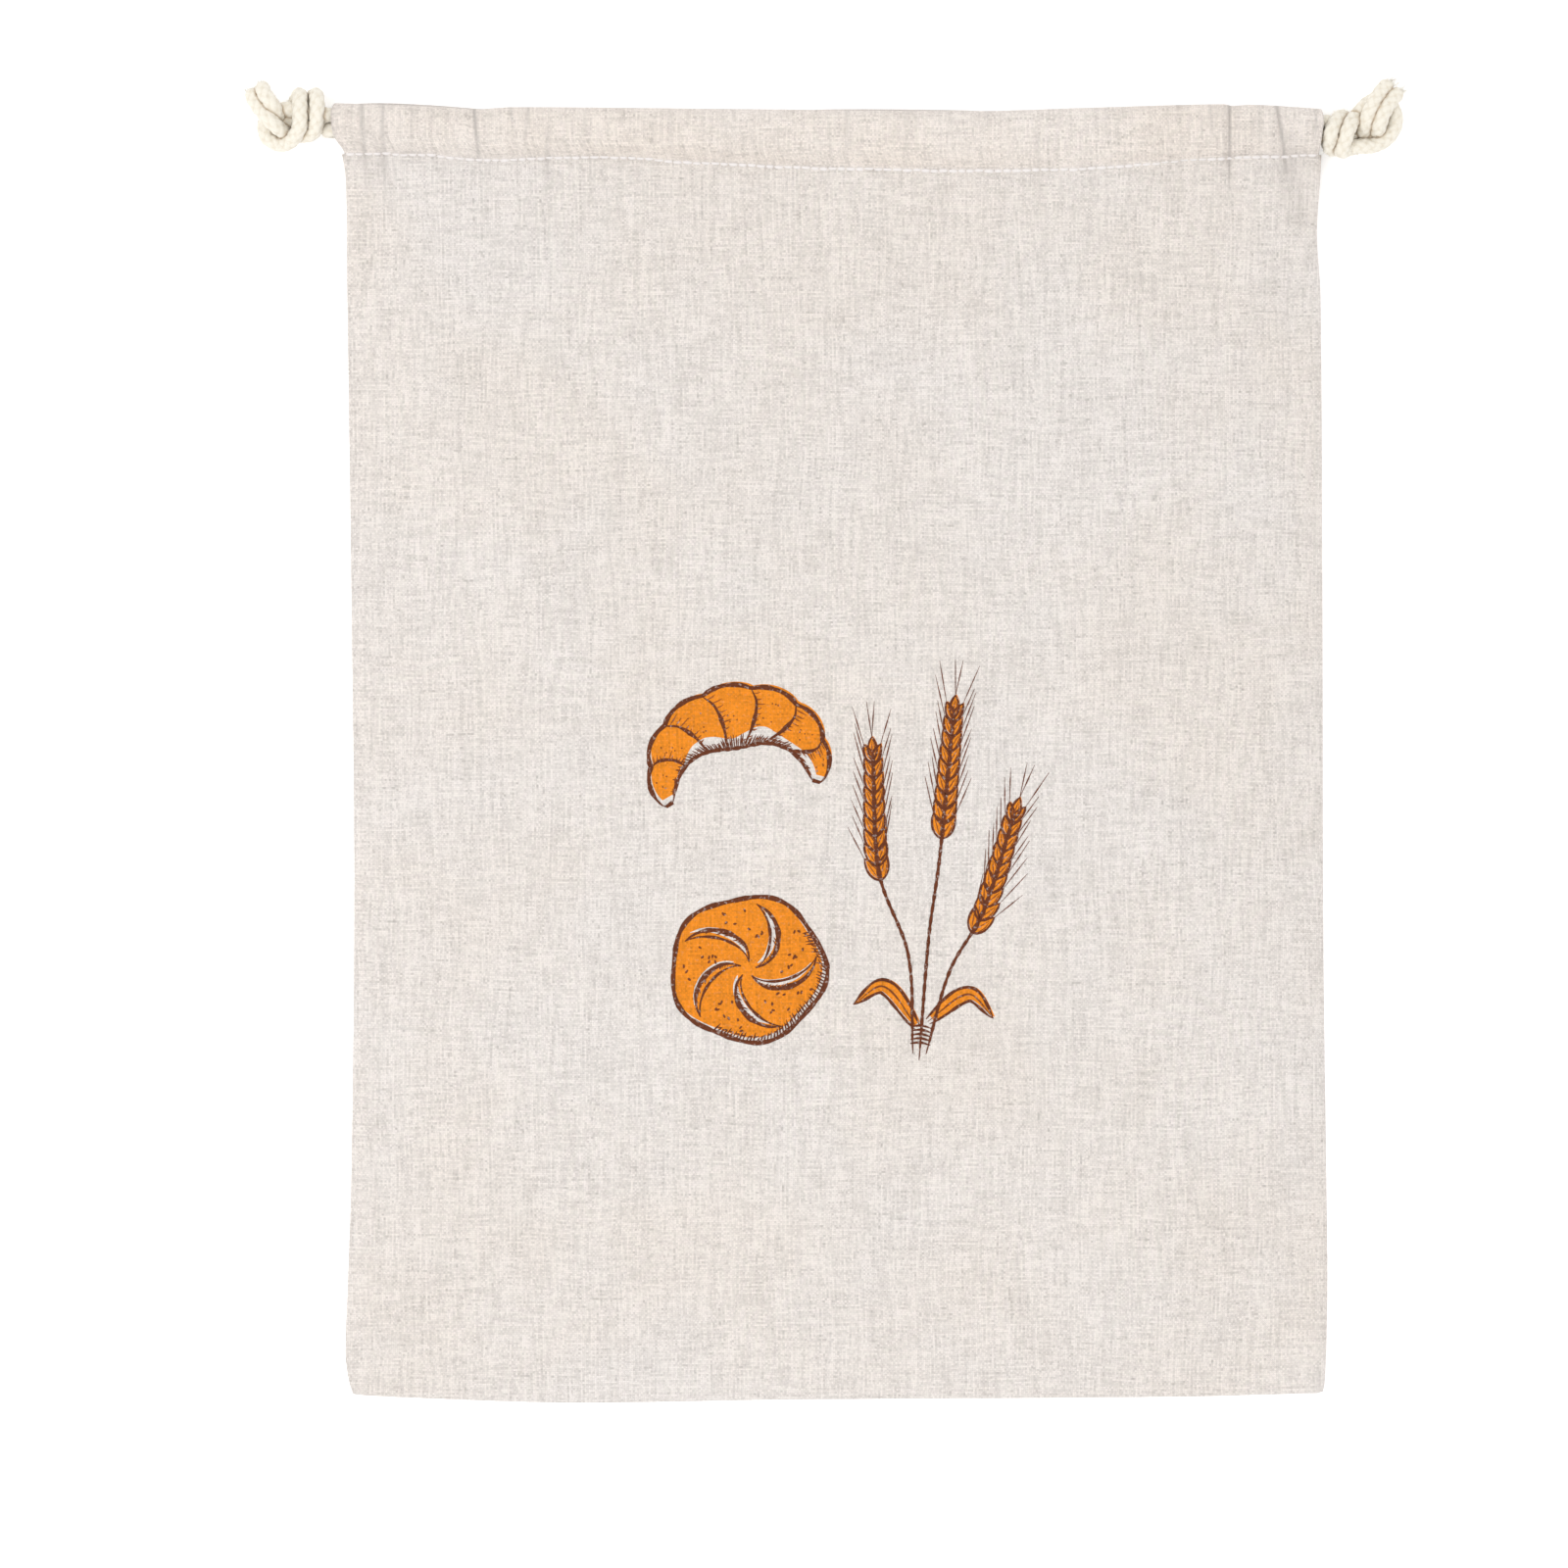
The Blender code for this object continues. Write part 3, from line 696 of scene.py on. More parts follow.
class BREADBAG_OT_stage(bpy.types.Operator):
    """Set up the camera, the pale floor and the soft lights"""

    bl_idname = "breadbag.stage"
    bl_label = "Stage"

    def execute(self, context):
        stage = context.scene.bread_bag_stage
        look_from_above(stage)
        deselect_all()
        bpy.ops.mesh.primitive_plane_add(size=12, location=(0, 0, -0.05 * MM))
        floor = context.active_object
        floor.name = "floor"
        paper, tree, shader = new_material("pale floor", 0.85, specular=0.1)
        grain = noise(tree, object_place(tree), 40.0, 4.0)[0]
        tone = ramp(tree, grain, 0.0, 1.0, 0.99, 1.0)
        tint = mix(tree, 1.0, (*stage.floor_colour, 1), tone, "MULTIPLY")
        tree.links.new(tint, shader["Base Color"])
        shader["Emission Color"].default_value = (1, 1, 1, 1)
        shader["Emission Strength"].default_value = stage.floor_glow
        floor.data.materials.append(paper)
        soft_light("key light", (-0.6, -0.35, 2.2), 1.8, stage.light_power)
        world = bpy.data.worlds.new("even light")
        world.use_nodes = True
        back = world.node_tree.nodes["Background"]
        back.inputs["Color"].default_value = (1, 1, 1, 1)
        back.inputs["Strength"].default_value = stage.sky
        context.scene.world = world
        context.scene.view_settings.view_transform = "Standard"
        return {"FINISHED"}


# ---------------------------------------------------------------- the drawcords


def smooth_line(points, step):
    """Points a step apart on a smooth curve through the points given."""
    places = [0.0]
    for a, b in zip(points, points[1:]):
        places.append(places[-1] + (Vector(b) - Vector(a)).length)
    tables = [[(s, p[axis]) for s, p in zip(places, points)] for axis in range(3)]
    count = max(1, round(places[-1] / step))
    return [Vector([along(t, places[-1] * i / count) for t in tables]) for i in range(count + 1)]


def lane_point(name, x, lane):
    """A point on a cord in one of the casings."""
    if name == "front":
        return (x, edge(FRONT_TOP, x) - lane, front_cord_height(x) + FRONT_CORD_RAISE)
    return (x, edge(BACK_TOP, x) - lane, BACK_CORD_Z)


def strand(side, which):
    """The route of one of the two strands of a knot, from the bag to its cut end."""
    right = side > 0
    end, route = CASING_ENDS[right], RIGHT_KNOT if right else LEFT_KNOT
    lane = LOWER_LANE if right else UPPER_LANE
    y = (edge(FRONT_TOP, end) + edge(BACK_TOP, end)) / 2 - lane
    start = Vector((end + side * KNOT_STARTS[right], y, KNOT_Z))
    lines = [Vector(row[:3]) for row in route]
    points = []
    for i, row in enumerate(route):
        run = lines[min(i + 1, len(lines) - 1)] - lines[max(i - 1, 0)]
        spread = Vector(row[3:6])
        spread = (spread - run * (spread.dot(run) / run.length_squared)).normalized()
        local = lines[i] + spread * (0.5 * which * row[6])
        points.append(start + Vector((side * local.x, local.y, local.z)) * CORD)
    return points


def casing_route(side):
    """The cord's line through the front casing, round its far end and back behind."""
    lane = UPPER_LANE if side < 0 else LOWER_LANE
    near, far = (CASING_ENDS if side < 0 else CASING_ENDS[::-1])
    straight = [near + (far - near) * i / 24 for i in range(25)]
    front = [lane_point("front", x, lane) for x in straight]
    back = [lane_point("back", x, lane) for x in reversed(straight)]
    front_z, back_z = front_cord_height(near), BACK_CORD_Z
    bend_y = (front[-1][1] + back[0][1]) / 2
    middle, rise = (front_z + back_z) / 2, (front_z - back_z) / 2
    bend = []
    for turned in (30, 60, 90, 120, 150):
        out, up = math.sin(math.radians(turned)), math.cos(math.radians(turned))
        bend.append((far - side * BEND_REACH * out, bend_y, middle + rise * up))
    return front, bend, back


def braid(turn, place, pitch):
    """Height of the braid's surface at an angle and a distance along, from 0 in a hollow to 1."""
    a, b = turn * 2 + place / pitch * math.tau * 2, turn * 2 - place / pitch * math.tau * 2
    right, left = math.sin(a), math.sin(b)
    over = 1.0 if right * left > 0 else 0.0
    return max(abs(right) * (0.55 + 0.45 * over), abs(left) * (1.0 - 0.45 * over))


def braided_tube(name, line, cords):
    """A closed tube along the line, with the braid's relief. It swells where it leaves the casings
    for its knot. It keeps the relief's height, for the painted shade in the braid's hollows, and how
    near the cord's other turns lie, for the painted shade between a knot's turns."""
    sides = 28
    mesh = bmesh.new()
    uv = mesh.loops.layers.uv.new("cord")
    yarn, turn_shade = [mesh.verts.layers.float.new(layer) for layer in ("yarn", "turn_shade")]
    radius = cords.diameter / 2
    normal = Vector((0, 0, 1))
    place, rings = 0.0, []
    for i, point in enumerate(line):
        before, after = line[max(i - 1, 0)], line[min(i + 1, len(line) - 1)]
        run = (after - before).normalized()
        normal = (normal - run * normal.dot(run)).normalized()
        side = run.cross(normal)
        place += (point - line[i - 1]).length if i else 0.0
        taper = min(1.0, 0.72 + 0.28 * min(i, len(line) - 1 - i) / 3)
        outside = max(CASING_ENDS[0] - point.x, point.x - CASING_ENDS[1])
        taper *= 1 + (cords.knot_swell - 1) * smooth(outside / (3.5 * MM))
        ring = []
        for k in range(sides):
            turn = math.tau * k / sides
            high = braid(turn, place, cords.braid_pitch)
            out = (radius - cords.relief * (1 - high)) * taper
            vert = mesh.verts.new(point + (normal * math.cos(turn) + side * math.sin(turn)) * out)
            vert.co.z = max(vert.co.z, 0.0)
            vert[yarn] = high
            ring.append(vert)
        rings.append((ring, place))
    for (low, s0), (high, s1) in zip(rings, rings[1:]):
        for k in range(sides):
            n = (k + 1) % sides
            face = mesh.faces.new((low[k], low[n], high[n], high[k]))
            corners = ((k, s0), (k + 1, s0), (k + 1, s1), (k, s1))
            for loop, (u, s) in zip(face.loops, corners):
                loop[uv].uv = (u / sides * math.tau * radius, s)
    for (ring, _), turned in ((rings[0], -1), (rings[-1], 1)):
        mesh.faces.new(ring[::-1] if turned < 0 else ring)
    nearby = KDTree(len(line))
    for i, point in enumerate(line):
        nearby.insert(point, i)
    nearby.balance()
    reach = radius * cords.knot_swell
    for i, (ring, _) in enumerate(rings):
        if CASING_ENDS[0] < line[i].x < CASING_ENDS[1]:
            continue
        for vert in ring:
            others = [d for _, j, d in nearby.find_range(vert.co, reach + 1.2 * MM)
                      if abs(i - j) > 16]
            if others:
                vert[turn_shade] = 1 - smooth((min(others) - reach + 0.3 * MM) / (1.1 * MM))
    bmesh.ops.recalc_face_normals(mesh, faces=mesh.faces)
    return finished_mesh(name, mesh)


def cotton_material(cords):
    made, tree, shader = new_material("braided cotton", 0.9, sheen=0.25, specular=0.2)
    fibre = effect(tree, "spun fibre", {
        "Vector": object_place(tree), "Grain": 1400.0, "Depth": 0.9,
        "Light": (*cords.light_yarn, 1), "Dark": (*cords.dark_yarn_and_shade, 1),
    })
    # Painted shade in the braid's hollows, darker where the relief is low.
    hollow = ramp(tree, kept(tree, "yarn"), 0.2, 0.75, 0.7, 0.0)
    tint = mix(tree, hollow, fibre["Color"], (*cords.dark_yarn_and_shade, 1))
    # Painted shade between a knot's turns, where they lie close together.
    turn_shade = maths(tree, "MULTIPLY", kept(tree, "turn_shade"), 0.75)
    tint = mix(tree, turn_shade, tint, (*cords.between, 1))
    tree.links.new(tint, shader["Base Color"])
    tree.links.new(bump(tree, fibre["Height"], 0.25 * MM), shader["Normal"])
    return made


def add_fibre(mesh, places, sizes, corners):
    """One loose fibre: a thin closed prism through the places, scaled at each."""
    rings = [[mesh.verts.new(place + corner * size) for corner in corners]
             for place, size in zip(places, sizes)]
    for low, high in zip(rings, rings[1:]):
        for k in range(3):
            n = (k + 1) % 3
            mesh.faces.new((low[k], low[n], high[n], high[k]))
    mesh.faces.new(rings[0][::-1])
    mesh.faces.new(rings[-1])


def frayed_end(mesh, tip, way, rng):
    """A small tuft of loose fibres at a cord's cut end."""
    cross = way.orthogonal().normalized()
    for _ in range(46):
        turned = Matrix.Rotation(rng.uniform(0, math.tau), 3, way) @ cross
        out = rng.uniform(0.1, 0.85) * CORD / 2
        point = tip + turned * out - way * 1.0 * MM
        long = rng.uniform(1.6, 3.4) * MM
        lean = turned * rng.uniform(0.1, 0.9) + way.cross(turned) * rng.uniform(-0.5, 0.5)
        turns = [math.tau * k / 3 for k in range(3)]
        corners = [(turned * math.cos(a) + way.cross(turned) * math.sin(a)) * 0.11 * MM
                   for a in turns]
        steps = [step / 4 for step in range(5)]
        add_fibre(mesh, [point + way * long * t + lean * long * t * t * 0.6 for t in steps],
                  [1 - 0.75 * t for t in steps], corners)


def fluff(mesh, line, count, cords, rng):
    """Short loose fibres that stand off a cord outside the casings."""
    outside = [i for i, point in enumerate(line[1:-1], 1)
               if not CASING_ENDS[0] - 3 * MM < point.x < CASING_ENDS[1] + 3 * MM]
    radius = cords.diameter / 2 * cords.knot_swell
    for _ in range(count):
        i = rng.choice(outside)
        run = (line[i + 1] - line[i - 1]).normalized()
        away = Matrix.Rotation(rng.uniform(0, math.tau), 3, run) @ run.orthogonal().normalized()
        root = line[i] + away * (radius - 0.2 * MM)
        if root.z < 2 * MM:
            continue
        lean = (away + run * rng.uniform(-1.2, 1.2)).normalized()
        curl = run.cross(away) * rng.uniform(-0.6, 0.6) * MM
        long = rng.uniform(0.7, 1.7) * MM
        aside = lean.cross(run).normalized() * 0.05 * MM
        up = lean.cross(aside).normalized() * 0.05 * MM
        steps = (0.0, 0.5, 1.0)
        add_fibre(mesh, [root + lean * long * t + curl * t * t for t in steps],
                  [1 - 0.7 * t for t in steps], (aside, up - aside * 0.5, -up - aside * 0.5))


class BREADBAG_OT_cords(bpy.types.Operator):
    """Add the two braided drawcords, each knotted outside its side of the bag"""

    bl_idname = "breadbag.cords"
    bl_label = "Drawcords"

    def execute(self, context):
        cords = context.scene.bread_bag_cords
        cotton = cotton_material(cords)
        rng = random.Random(4)
        for name, side in (("right", 1), ("left", -1)):
            front, bend, back = casing_route(side)
            first, second = strand(side, 1), strand(side, -1)
            knot_step, casing_step = 0.42 * MM, 2.0 * MM
            knot_a = smooth_line(first[::-1] + [front[0]], knot_step)
            run = smooth_line([front[0]] + front[1:] + bend + back, casing_step)
            knot_b = smooth_line([back[-1]] + second, knot_step)
            line = knot_a + run[1:] + knot_b[1:]
            body = piece(f"cord_{name}", braided_tube(f"cord_{name}", line, cords), cotton)
            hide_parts(f"drawcord_{name}", f"knot_{name}")
            tufts = bmesh.new()
            pale = tufts.verts.layers.float.new("yarn")
            for tip, before in ((line[0], line[3]), (line[-1], line[-4])):
                frayed_end(tufts, tip, (tip - before).normalized(), rng)
            fluff(tufts, line, cords.fluff if side > 0 else cords.fluff // 3, cords, rng)
            # The tufts count as braid crowns, so they get none of the painted shade in the hollows.
            for vert in tufts.verts:
                vert[pale] = 1.0
            ends = f"cord_ends_{name}"
            ends = piece(ends, finished_mesh(ends, tufts), cotton)
        return {"FINISHED"}


# ---------------------------------------------------------------- the linen


def spread_places(pitch):
    """Places across the bag as shares of its width, closer together at the creases."""
    places, x = [0.0], 0.0
    while x < 1:
        near = min(abs((2 * x - 1) * 150 - (row[0] + row[2]) / 2) - row[4] for row in FOLDS)
        step = min(pitch, (0.6 + max(near, 0.0) * 0.8) * MM) / (2 * HALF_WIDTH)
        if x < 0.012 or x > 0.985:
            step = min(step, 1.3 * MM / (2 * HALF_WIDTH))
        x += step
        places.append(min(x, 1.0))
    if places[-1] - places[-2] < 0.002:
        places.pop(-2)
    return places


def spread_rows(pitch):
    """Shares from the foot to the stitching, closer together near both."""
    rows, y = [0.0], 0.0
    while y < 1:
        step = pitch / PANEL_LONG
        if y < 0.03:
            step *= 0.3
        elif y > 0.9:
            step *= 0.45
        y += step
        rows.append(min(y, 1.0))
    if rows[-1] - rows[-2] < 0.002:
        rows.pop(-2)
    return rows


def casing_section(top_y, stitch_y, stitch_z, middle_z, puff):
    """A casing's section from just above the stitching over the nose and back, as (y, z)."""
    nose_y, ramp_y, level_y = top_y - NOSE, top_y - LEVEL_PART, top_y - LOWER_LANE
    lines = []
    for way, extra in ((1, puff), (-1, 0.0)):
        level_z = middle_z + way * TUNNEL_HALF + extra
        corners = [
            (stitch_y, stitch_z),
            ((ramp_y + stitch_y) / 2, stitch_z + (level_z - stitch_z) * RAMP_BULGE),
            (ramp_y, level_z - way * RAMP_SOFTENS),
            (level_y, level_z),
            (nose_y, level_z),
        ]
        line = []
        table = [(i, z) for i, (_, z) in enumerate(corners)]
        table_y = [(i, y) for i, (y, _) in enumerate(corners)]
        for at in [step / 3 for step in range(1, 13)]:
            line.append((along(table_y, at), along(table, at)))
        reach = TUNNEL_HALF
        for degrees in (18, 36, 54, 72):
            out, up = math.sin(math.radians(degrees)), math.cos(math.radians(degrees))
            line.append((nose_y + reach * out, middle_z + way * reach * up + extra * up))
        lines.append(line)
    return lines[0], (nose_y + TUNNEL_HALF, middle_z), lines[1]


class ClothMaker:
    """Builds the bag's cloth and keeps, for each corner of a face, its place on the flat cloth."""

    def __init__(self, cloth):
        self.cloth = cloth
        self.mesh = bmesh.new()
        self.uv = self.mesh.loops.layers.uv.new("cloth")

    def grid(self, rows, maps):
        for r in range(len(rows) - 1):
            for k in range(len(rows[r]) - 1):
                places = ((r, k), (r, k + 1), (r + 1, k + 1), (r + 1, k))
                face = self.mesh.faces.new([rows[a][b] for a, b in places])
                for loop, (a, b) in zip(face.loops, places):
                    loop[self.uv].uv = maps[a][b]


def seam_step(x, y, cloth):
    """The slight rise over the allowance turned in behind the side seams."""
    left = x - edge(LEFT_SEAM, y)
    right = edge(RIGHT_SEAM, y) - x
    rise = 0.32 * MM * (1 - smooth((left - cloth.allowance + 1.2 * MM) / (2.4 * MM)))
    rise += 0.22 * MM * (1 - smooth((right - cloth.allowance + 1.2 * MM) / (2.4 * MM)))
    return rise * smooth((min(left, right) - 1 * MM) / (3 * MM))


CLOTH_MARKS = ("doubled", "crease_shade", "puckered")


def mark_cloth(mesh, cloth):
    """Keeps on each point how doubled and how puckered the cloth is there, and how much painted
    shade it gets in its creases and behind the front casing.
    """
    doubled, crease_shade, puckered = [mesh.verts.layers.float.new(name) for name in CLOTH_MARKS]
    for vert in mesh.verts:
        x, y, z = vert.co
        above = y - edge(STITCHING, x)
        inside = min(x - edge(LEFT_SEAM, y), edge(RIGHT_SEAM, y) - x)
        seam = 1 - smooth((inside - cloth.allowance + 0.8 * MM) / (1.6 * MM))
        vert[doubled] = max(smooth((above + 0.6 * MM) / (1.6 * MM)), 0.1 * seam)
        vert[puckered] = math.exp(-((above / MM / (7 if above < 0 else 4)) ** 2))
        # Painted shade in the creases of the front and its casing.
        if z > 8 * MM:
            vert[crease_shade] = crease_shade_at(x, y)
        # Painted shade on the back casing where it stands out behind the front one, in the gap
        # between the layers.
        elif z > 2 * MM and y > edge(BACK_TOP, x) - 3 * MM:
            vert[crease_shade] = BACK_SHADE


def build_cloth(cloth):
    maker = ClothMaker(cloth)
    mesh = maker.mesh
    places, shares = spread_places(cloth.pitch), spread_rows(cloth.pitch)
    inset = RIM_OUT + CLOTH / 2

    def spot(place, share):
        x = HALF_WIDTH * (2 * place - 1)
        for _ in range(3):
            low, high = edge(FOOT, x) + inset, edge(STITCHING, x)
            y = low + (high - low) * share
            left, right = edge(LEFT_SEAM, y) + inset, edge(RIGHT_SEAM, y) - inset
            x = left + (right - left) * place
        return x, y

    flat = [[spot(p, row) for p in places] for row in shares]
    panels, maps = {}, {}
    for name, way in (("front", 1), ("back", -1)):
        rows, uvs = [], []
        for row in flat:
            line = []
            for x, y in row:
                if name == "front":
                    z = front_height(x, y) + swell(x, y) + seam_step(x, y, cloth)
                else:
                    z = back_height(x, y)
                line.append(mesh.verts.new((x, y, z)))
            rows.append(line)
            uvs.append([(x + MAP_SIDE, MAP_FOOT + way * (y + FOOT_FOLD)) for x, y in row])
        maker.grid(rows, uvs)
        panels[name], maps[name] = rows, uvs

    def border(panel):
        left = [row[0] for row in reversed(panel[1:])]
        right = [row[-1] for row in panel[1:]]
        return left + panel[0] + right

    steps = 6
    upper, lower = border(panels["front"]), border(panels["back"])
    upper_map, lower_map = border(maps["front"]), border(maps["back"])
    rings, ways = [upper], []
    for i in range(len(upper)):
        before, after = upper[max(i - 1, 0)].co, upper[min(i + 1, len(upper) - 1)].co
        ways.append(Vector((after.y - before.y, before.x - after.x, 0)).normalized())
    for step in range(1, steps):
        turned = math.pi * step / steps
        ring = []
        for top, low, out in zip(upper, lower, ways):
            point = top.co.lerp(low.co, (1 - math.cos(turned)) / 2)
            ring.append(mesh.verts.new(point + out * RIM_OUT * math.sin(turned)))
        rings.append(ring)
    rings.append(lower)

    def rim_map(step, ring):
        """Place on the flat cloth of a point of the rim, from the nearer panel outwards."""
        front = step < steps / 2
        base = upper_map if front else lower_map
        far = (ring if front else steps - ring) * 0.6 * MM
        return [(u + out.x * far, v + out.y * far * (1 if front else -1))
                for (u, v), out in zip(base, ways)]

    for step in range(steps):
        maker.grid(rings[step : step + 2], [rim_map(step, step), rim_map(step, step + 1)])

    for name, top_edge, way in (("front", FRONT_TOP, 1), ("back", BACK_TOP, -1)):
        lines, uvs = [], []
        for place, low, (u, v) in zip(places, panels[name][-1], maps[name][-1]):
            end_x = CASING_ENDS[0] + (CASING_ENDS[1] - CASING_ENDS[0]) * place
            if name == "front":
                middle = front_cord_height(low.co.x)
                puff = max(PUFF - fold_depth(low.co.x, edge(top_edge, low.co.x)), -0.45 * MM)
            else:
                middle, puff = BACK_CORD_Z, 0.0
            outer, nose, inner = casing_section(
                edge(top_edge, end_x), low.co.y, low.co.z, middle, puff)
            if name == "back":
                outer, inner = inner, outer
            line, uv, long = [low], [(u, v)], 0.0
            loose = 0.0
            if name == "front":
                for end, reach in zip(CASING_ENDS, LOOSE_ENDS):
                    loose += reach * smooth(1 - abs(end_x - end) / LOOSE_RUN)
            for i, (y, z) in enumerate(outer + [nose] + inner[::-1]):
                out = smooth((y - low.co.y) / END_FLARE)
                x = low.co.x + (end_x - low.co.x) * out
                x += loose * min((y - low.co.y) / (9 * MM), 1.0) * smooth((18 - i) / 7)
                vert = mesh.verts.new((x, y, z))
                long += (vert.co - line[-1].co).length
                line.append(vert)
                uv.append((u, v + way * long))
            long += (low.co - line[-1].co).length
            lines.append(line + [low])
            uvs.append(uv + [(u, v + way * long)])
        maker.grid(lines, uvs)

    mark_cloth(mesh, cloth)
    bmesh.ops.recalc_face_normals(mesh, faces=mesh.faces)
    return finished_mesh("linen", mesh)


def linen_material(cloth):
    made, tree, shader = new_material("linen", 0.92, sheen=0.12, specular=0.15)
    weave = weave_in(tree, cloth)
    doubled, crease_shade, puckered = [kept(tree, name) for name in CLOTH_MARKS]
    tint = mix(tree, doubled, (1, 1, 1, 1), (*cloth.doubled_tint, 1))
    shade = mix(tree, 1.0, weave["Color"], tint, "MULTIPLY")
    # Painted shade: the creases and the gap behind the front casing darken towards the dark threads'
    # colour.
    shade = mix(tree, maths(tree, "MULTIPLY", crease_shade, 0.8), shade, (*cloth.dark_thread_and_shade, 1))
    tree.links.new(shade, shader["Base Color"])
    drawn = node(tree, "ShaderNodeMapping", {"Vector": cloth_place(tree), "Scale": (210, 70, 1)})
    waves = noise(tree, drawn.outputs[0], 1.0, 1.0, "2D")[0]
    puckers = bump(tree, maths(tree, "MULTIPLY", waves, puckered), 1.5 * MM)
    tree.links.new(bump(tree, weave["Height"], 0.16 * MM, Normal=puckers), shader["Normal"])
    return made


class BREADBAG_OT_linen(bpy.types.Operator):
    """Add the bag's one piece of linen, folded at the foot and turned over as two casings"""

    bl_idname = "breadbag.linen"
    bl_label = "Linen"

    def execute(self, context):
        cloth = context.scene.bread_bag_cloth
        linen = piece("linen", build_cloth(cloth), linen_material(cloth))
        layer = linen.modifiers.new("layer", "SOLIDIFY")
        layer.solidify_mode = "NON_MANIFOLD"
        layer.nonmanifold_thickness_mode = "EVEN"
        layer.nonmanifold_merge_threshold = 1e-7
        layer.thickness = cloth.thickness
        layer.offset = 0.0
        make_active(linen)
        bpy.ops.object.modifier_apply(modifier="layer")
        deselect_all()
        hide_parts("bag_cloth")
        return {"FINISHED"}


def cloth_surface():
    """A reader of the cloth's upper surface: height and way out, and the place on the cloth."""
    linen = bpy.data.objects.get("linen")
    if linen is None:
        raise RuntimeError("the linen has to be made first")
    data = linen.data
    tree = BVHTree.FromPolygons(
        [v.co for v in data.vertices], [tuple(p.vertices) for p in data.polygons])
    uv = data.uv_layers["cloth"].data

    def read(x, y, above=True):
        start = Vector((x, y, 0.1 if above else -0.1))
        spot, out, index, _ = tree.ray_cast(start, Vector((0, 0, -1 if above else 1)))
        if spot is None:
            raise RuntimeError(f"no cloth at {x:.4f}, {y:.4f}")
        face = data.polygons[index]
        weights = poly_3d_calc([data.vertices[v].co for v in face.vertices], spot)
        place = Vector((0, 0))
        for loop, weight in zip(face.loop_indices, weights):
            place += uv[loop].uv * weight
        return spot, out, place

    return read


# ---------------------------------------------------------------- the stitches


class BREADBAG_OT_stitches(bpy.types.Operator):
    """Add the white stitches along the foot of both casings"""

    bl_idname = "breadbag.stitches"
    bl_label = "Casing stitches"

    def execute(self, context):
        stitches = context.scene.bread_bag_stitches
        read = cloth_surface()
        deselect_all()
        bpy.ops.mesh.primitive_uv_sphere_add(segments=8, ring_count=8, radius=0.5,
                                             location=(0, 0, 0))
        one = context.active_object
        one.rotation_euler = (0, math.pi / 2, 0)
        bpy.ops.object.transform_apply(location=True, rotation=True, scale=True)
        shape = [Vector((math.copysign(abs(v.co.x * 2) ** 0.7 / 2, v.co.x), v.co.y, v.co.z))
                 for v in one.data.vertices]
        faces = [tuple(p.vertices) for p in one.data.polygons]
        bpy.data.objects.remove(one, do_unlink=True)
        thread, tree, shader = new_material("sewing thread", 0.7, sheen=0.2, specular=0.3)
        fibre = effect(tree, "spun fibre", {
            "Vector": object_place(tree), "Grain": 2600.0, "Depth": 0.5,
            "Light": (*stitches.colour, 1), "Dark": (*[c * 0.72 for c in stitches.colour], 1)})
        tree.links.new(fibre["Color"], shader["Base Color"])
        tree.links.new(bump(tree, fibre["Height"], 0.1 * MM), shader["Normal"])
        rng = random.Random(11)
        for name, above in (("front", True), ("back", False)):
            points, polygons = [], []
            x, drift = edge(LEFT_SEAM, SEAM_END_Y) + 1.6 * MM, 0.0
            while x < edge(RIGHT_SEAM, SEAM_END_Y) - 3.4 * MM:
                long = stitches.length * rng.uniform(0.86, 1.12)
                middle = x + long / 2
                drift = drift * 0.7 + rng.uniform(-0.2, 0.2) * MM
                y = edge(STITCHING, middle) - 0.15 * MM + drift
                slope = (edge(STITCHING, x + long) - edge(STITCHING, x)) / long
                spot, out, _ = read(middle, y, above)
                ends = [read(middle + k * long * 0.42, y + k * long * 0.42 * slope, above)[0]
                        for k in (-1, 1)]
                ahead = (ends[1] - ends[0]).normalized()
                up = (out - ahead * out.dot(ahead)).normalized()
                aside = up.cross(ahead)
                start = len(points)
                sunk = math.exp(-((middle / MM - SUNK_STITCHES[0]) / SUNK_STITCHES[1]) ** 2)
                thick = stitches.thickness * rng.uniform(0.8, 1.1) * (1 - 0.5 * sunk)
                for p in shape:
                    sink = -(p.x * 2) ** 2 * 0.22 * MM - 0.14 * MM * sunk
                    points.append(spot + ahead * p.x * long + aside * p.y * thick
                                  + up * (p.z * thick * 0.8 + 0.17 * MM + sink))
                polygons += [tuple(start + v for v in face) for face in faces]
                x += long + stitches.gap * rng.uniform(0.7, 1.5)
            data = bpy.data.meshes.new(f"stitches_{name}")
            data.from_pydata(points, [], polygons)
            data.shade_smooth()
            piece(f"stitches_{name}", data, thread)
        return {"FINISHED"}


# ---------------------------------------------------------------- the print


INK_GRID = 5  # the print is cut this fine to follow the cloth, in millimetres
INK_LEVELS = 12  # shapes that overlap lie on one of so many levels, one step apart
INK_STEP = 0.003 * MM


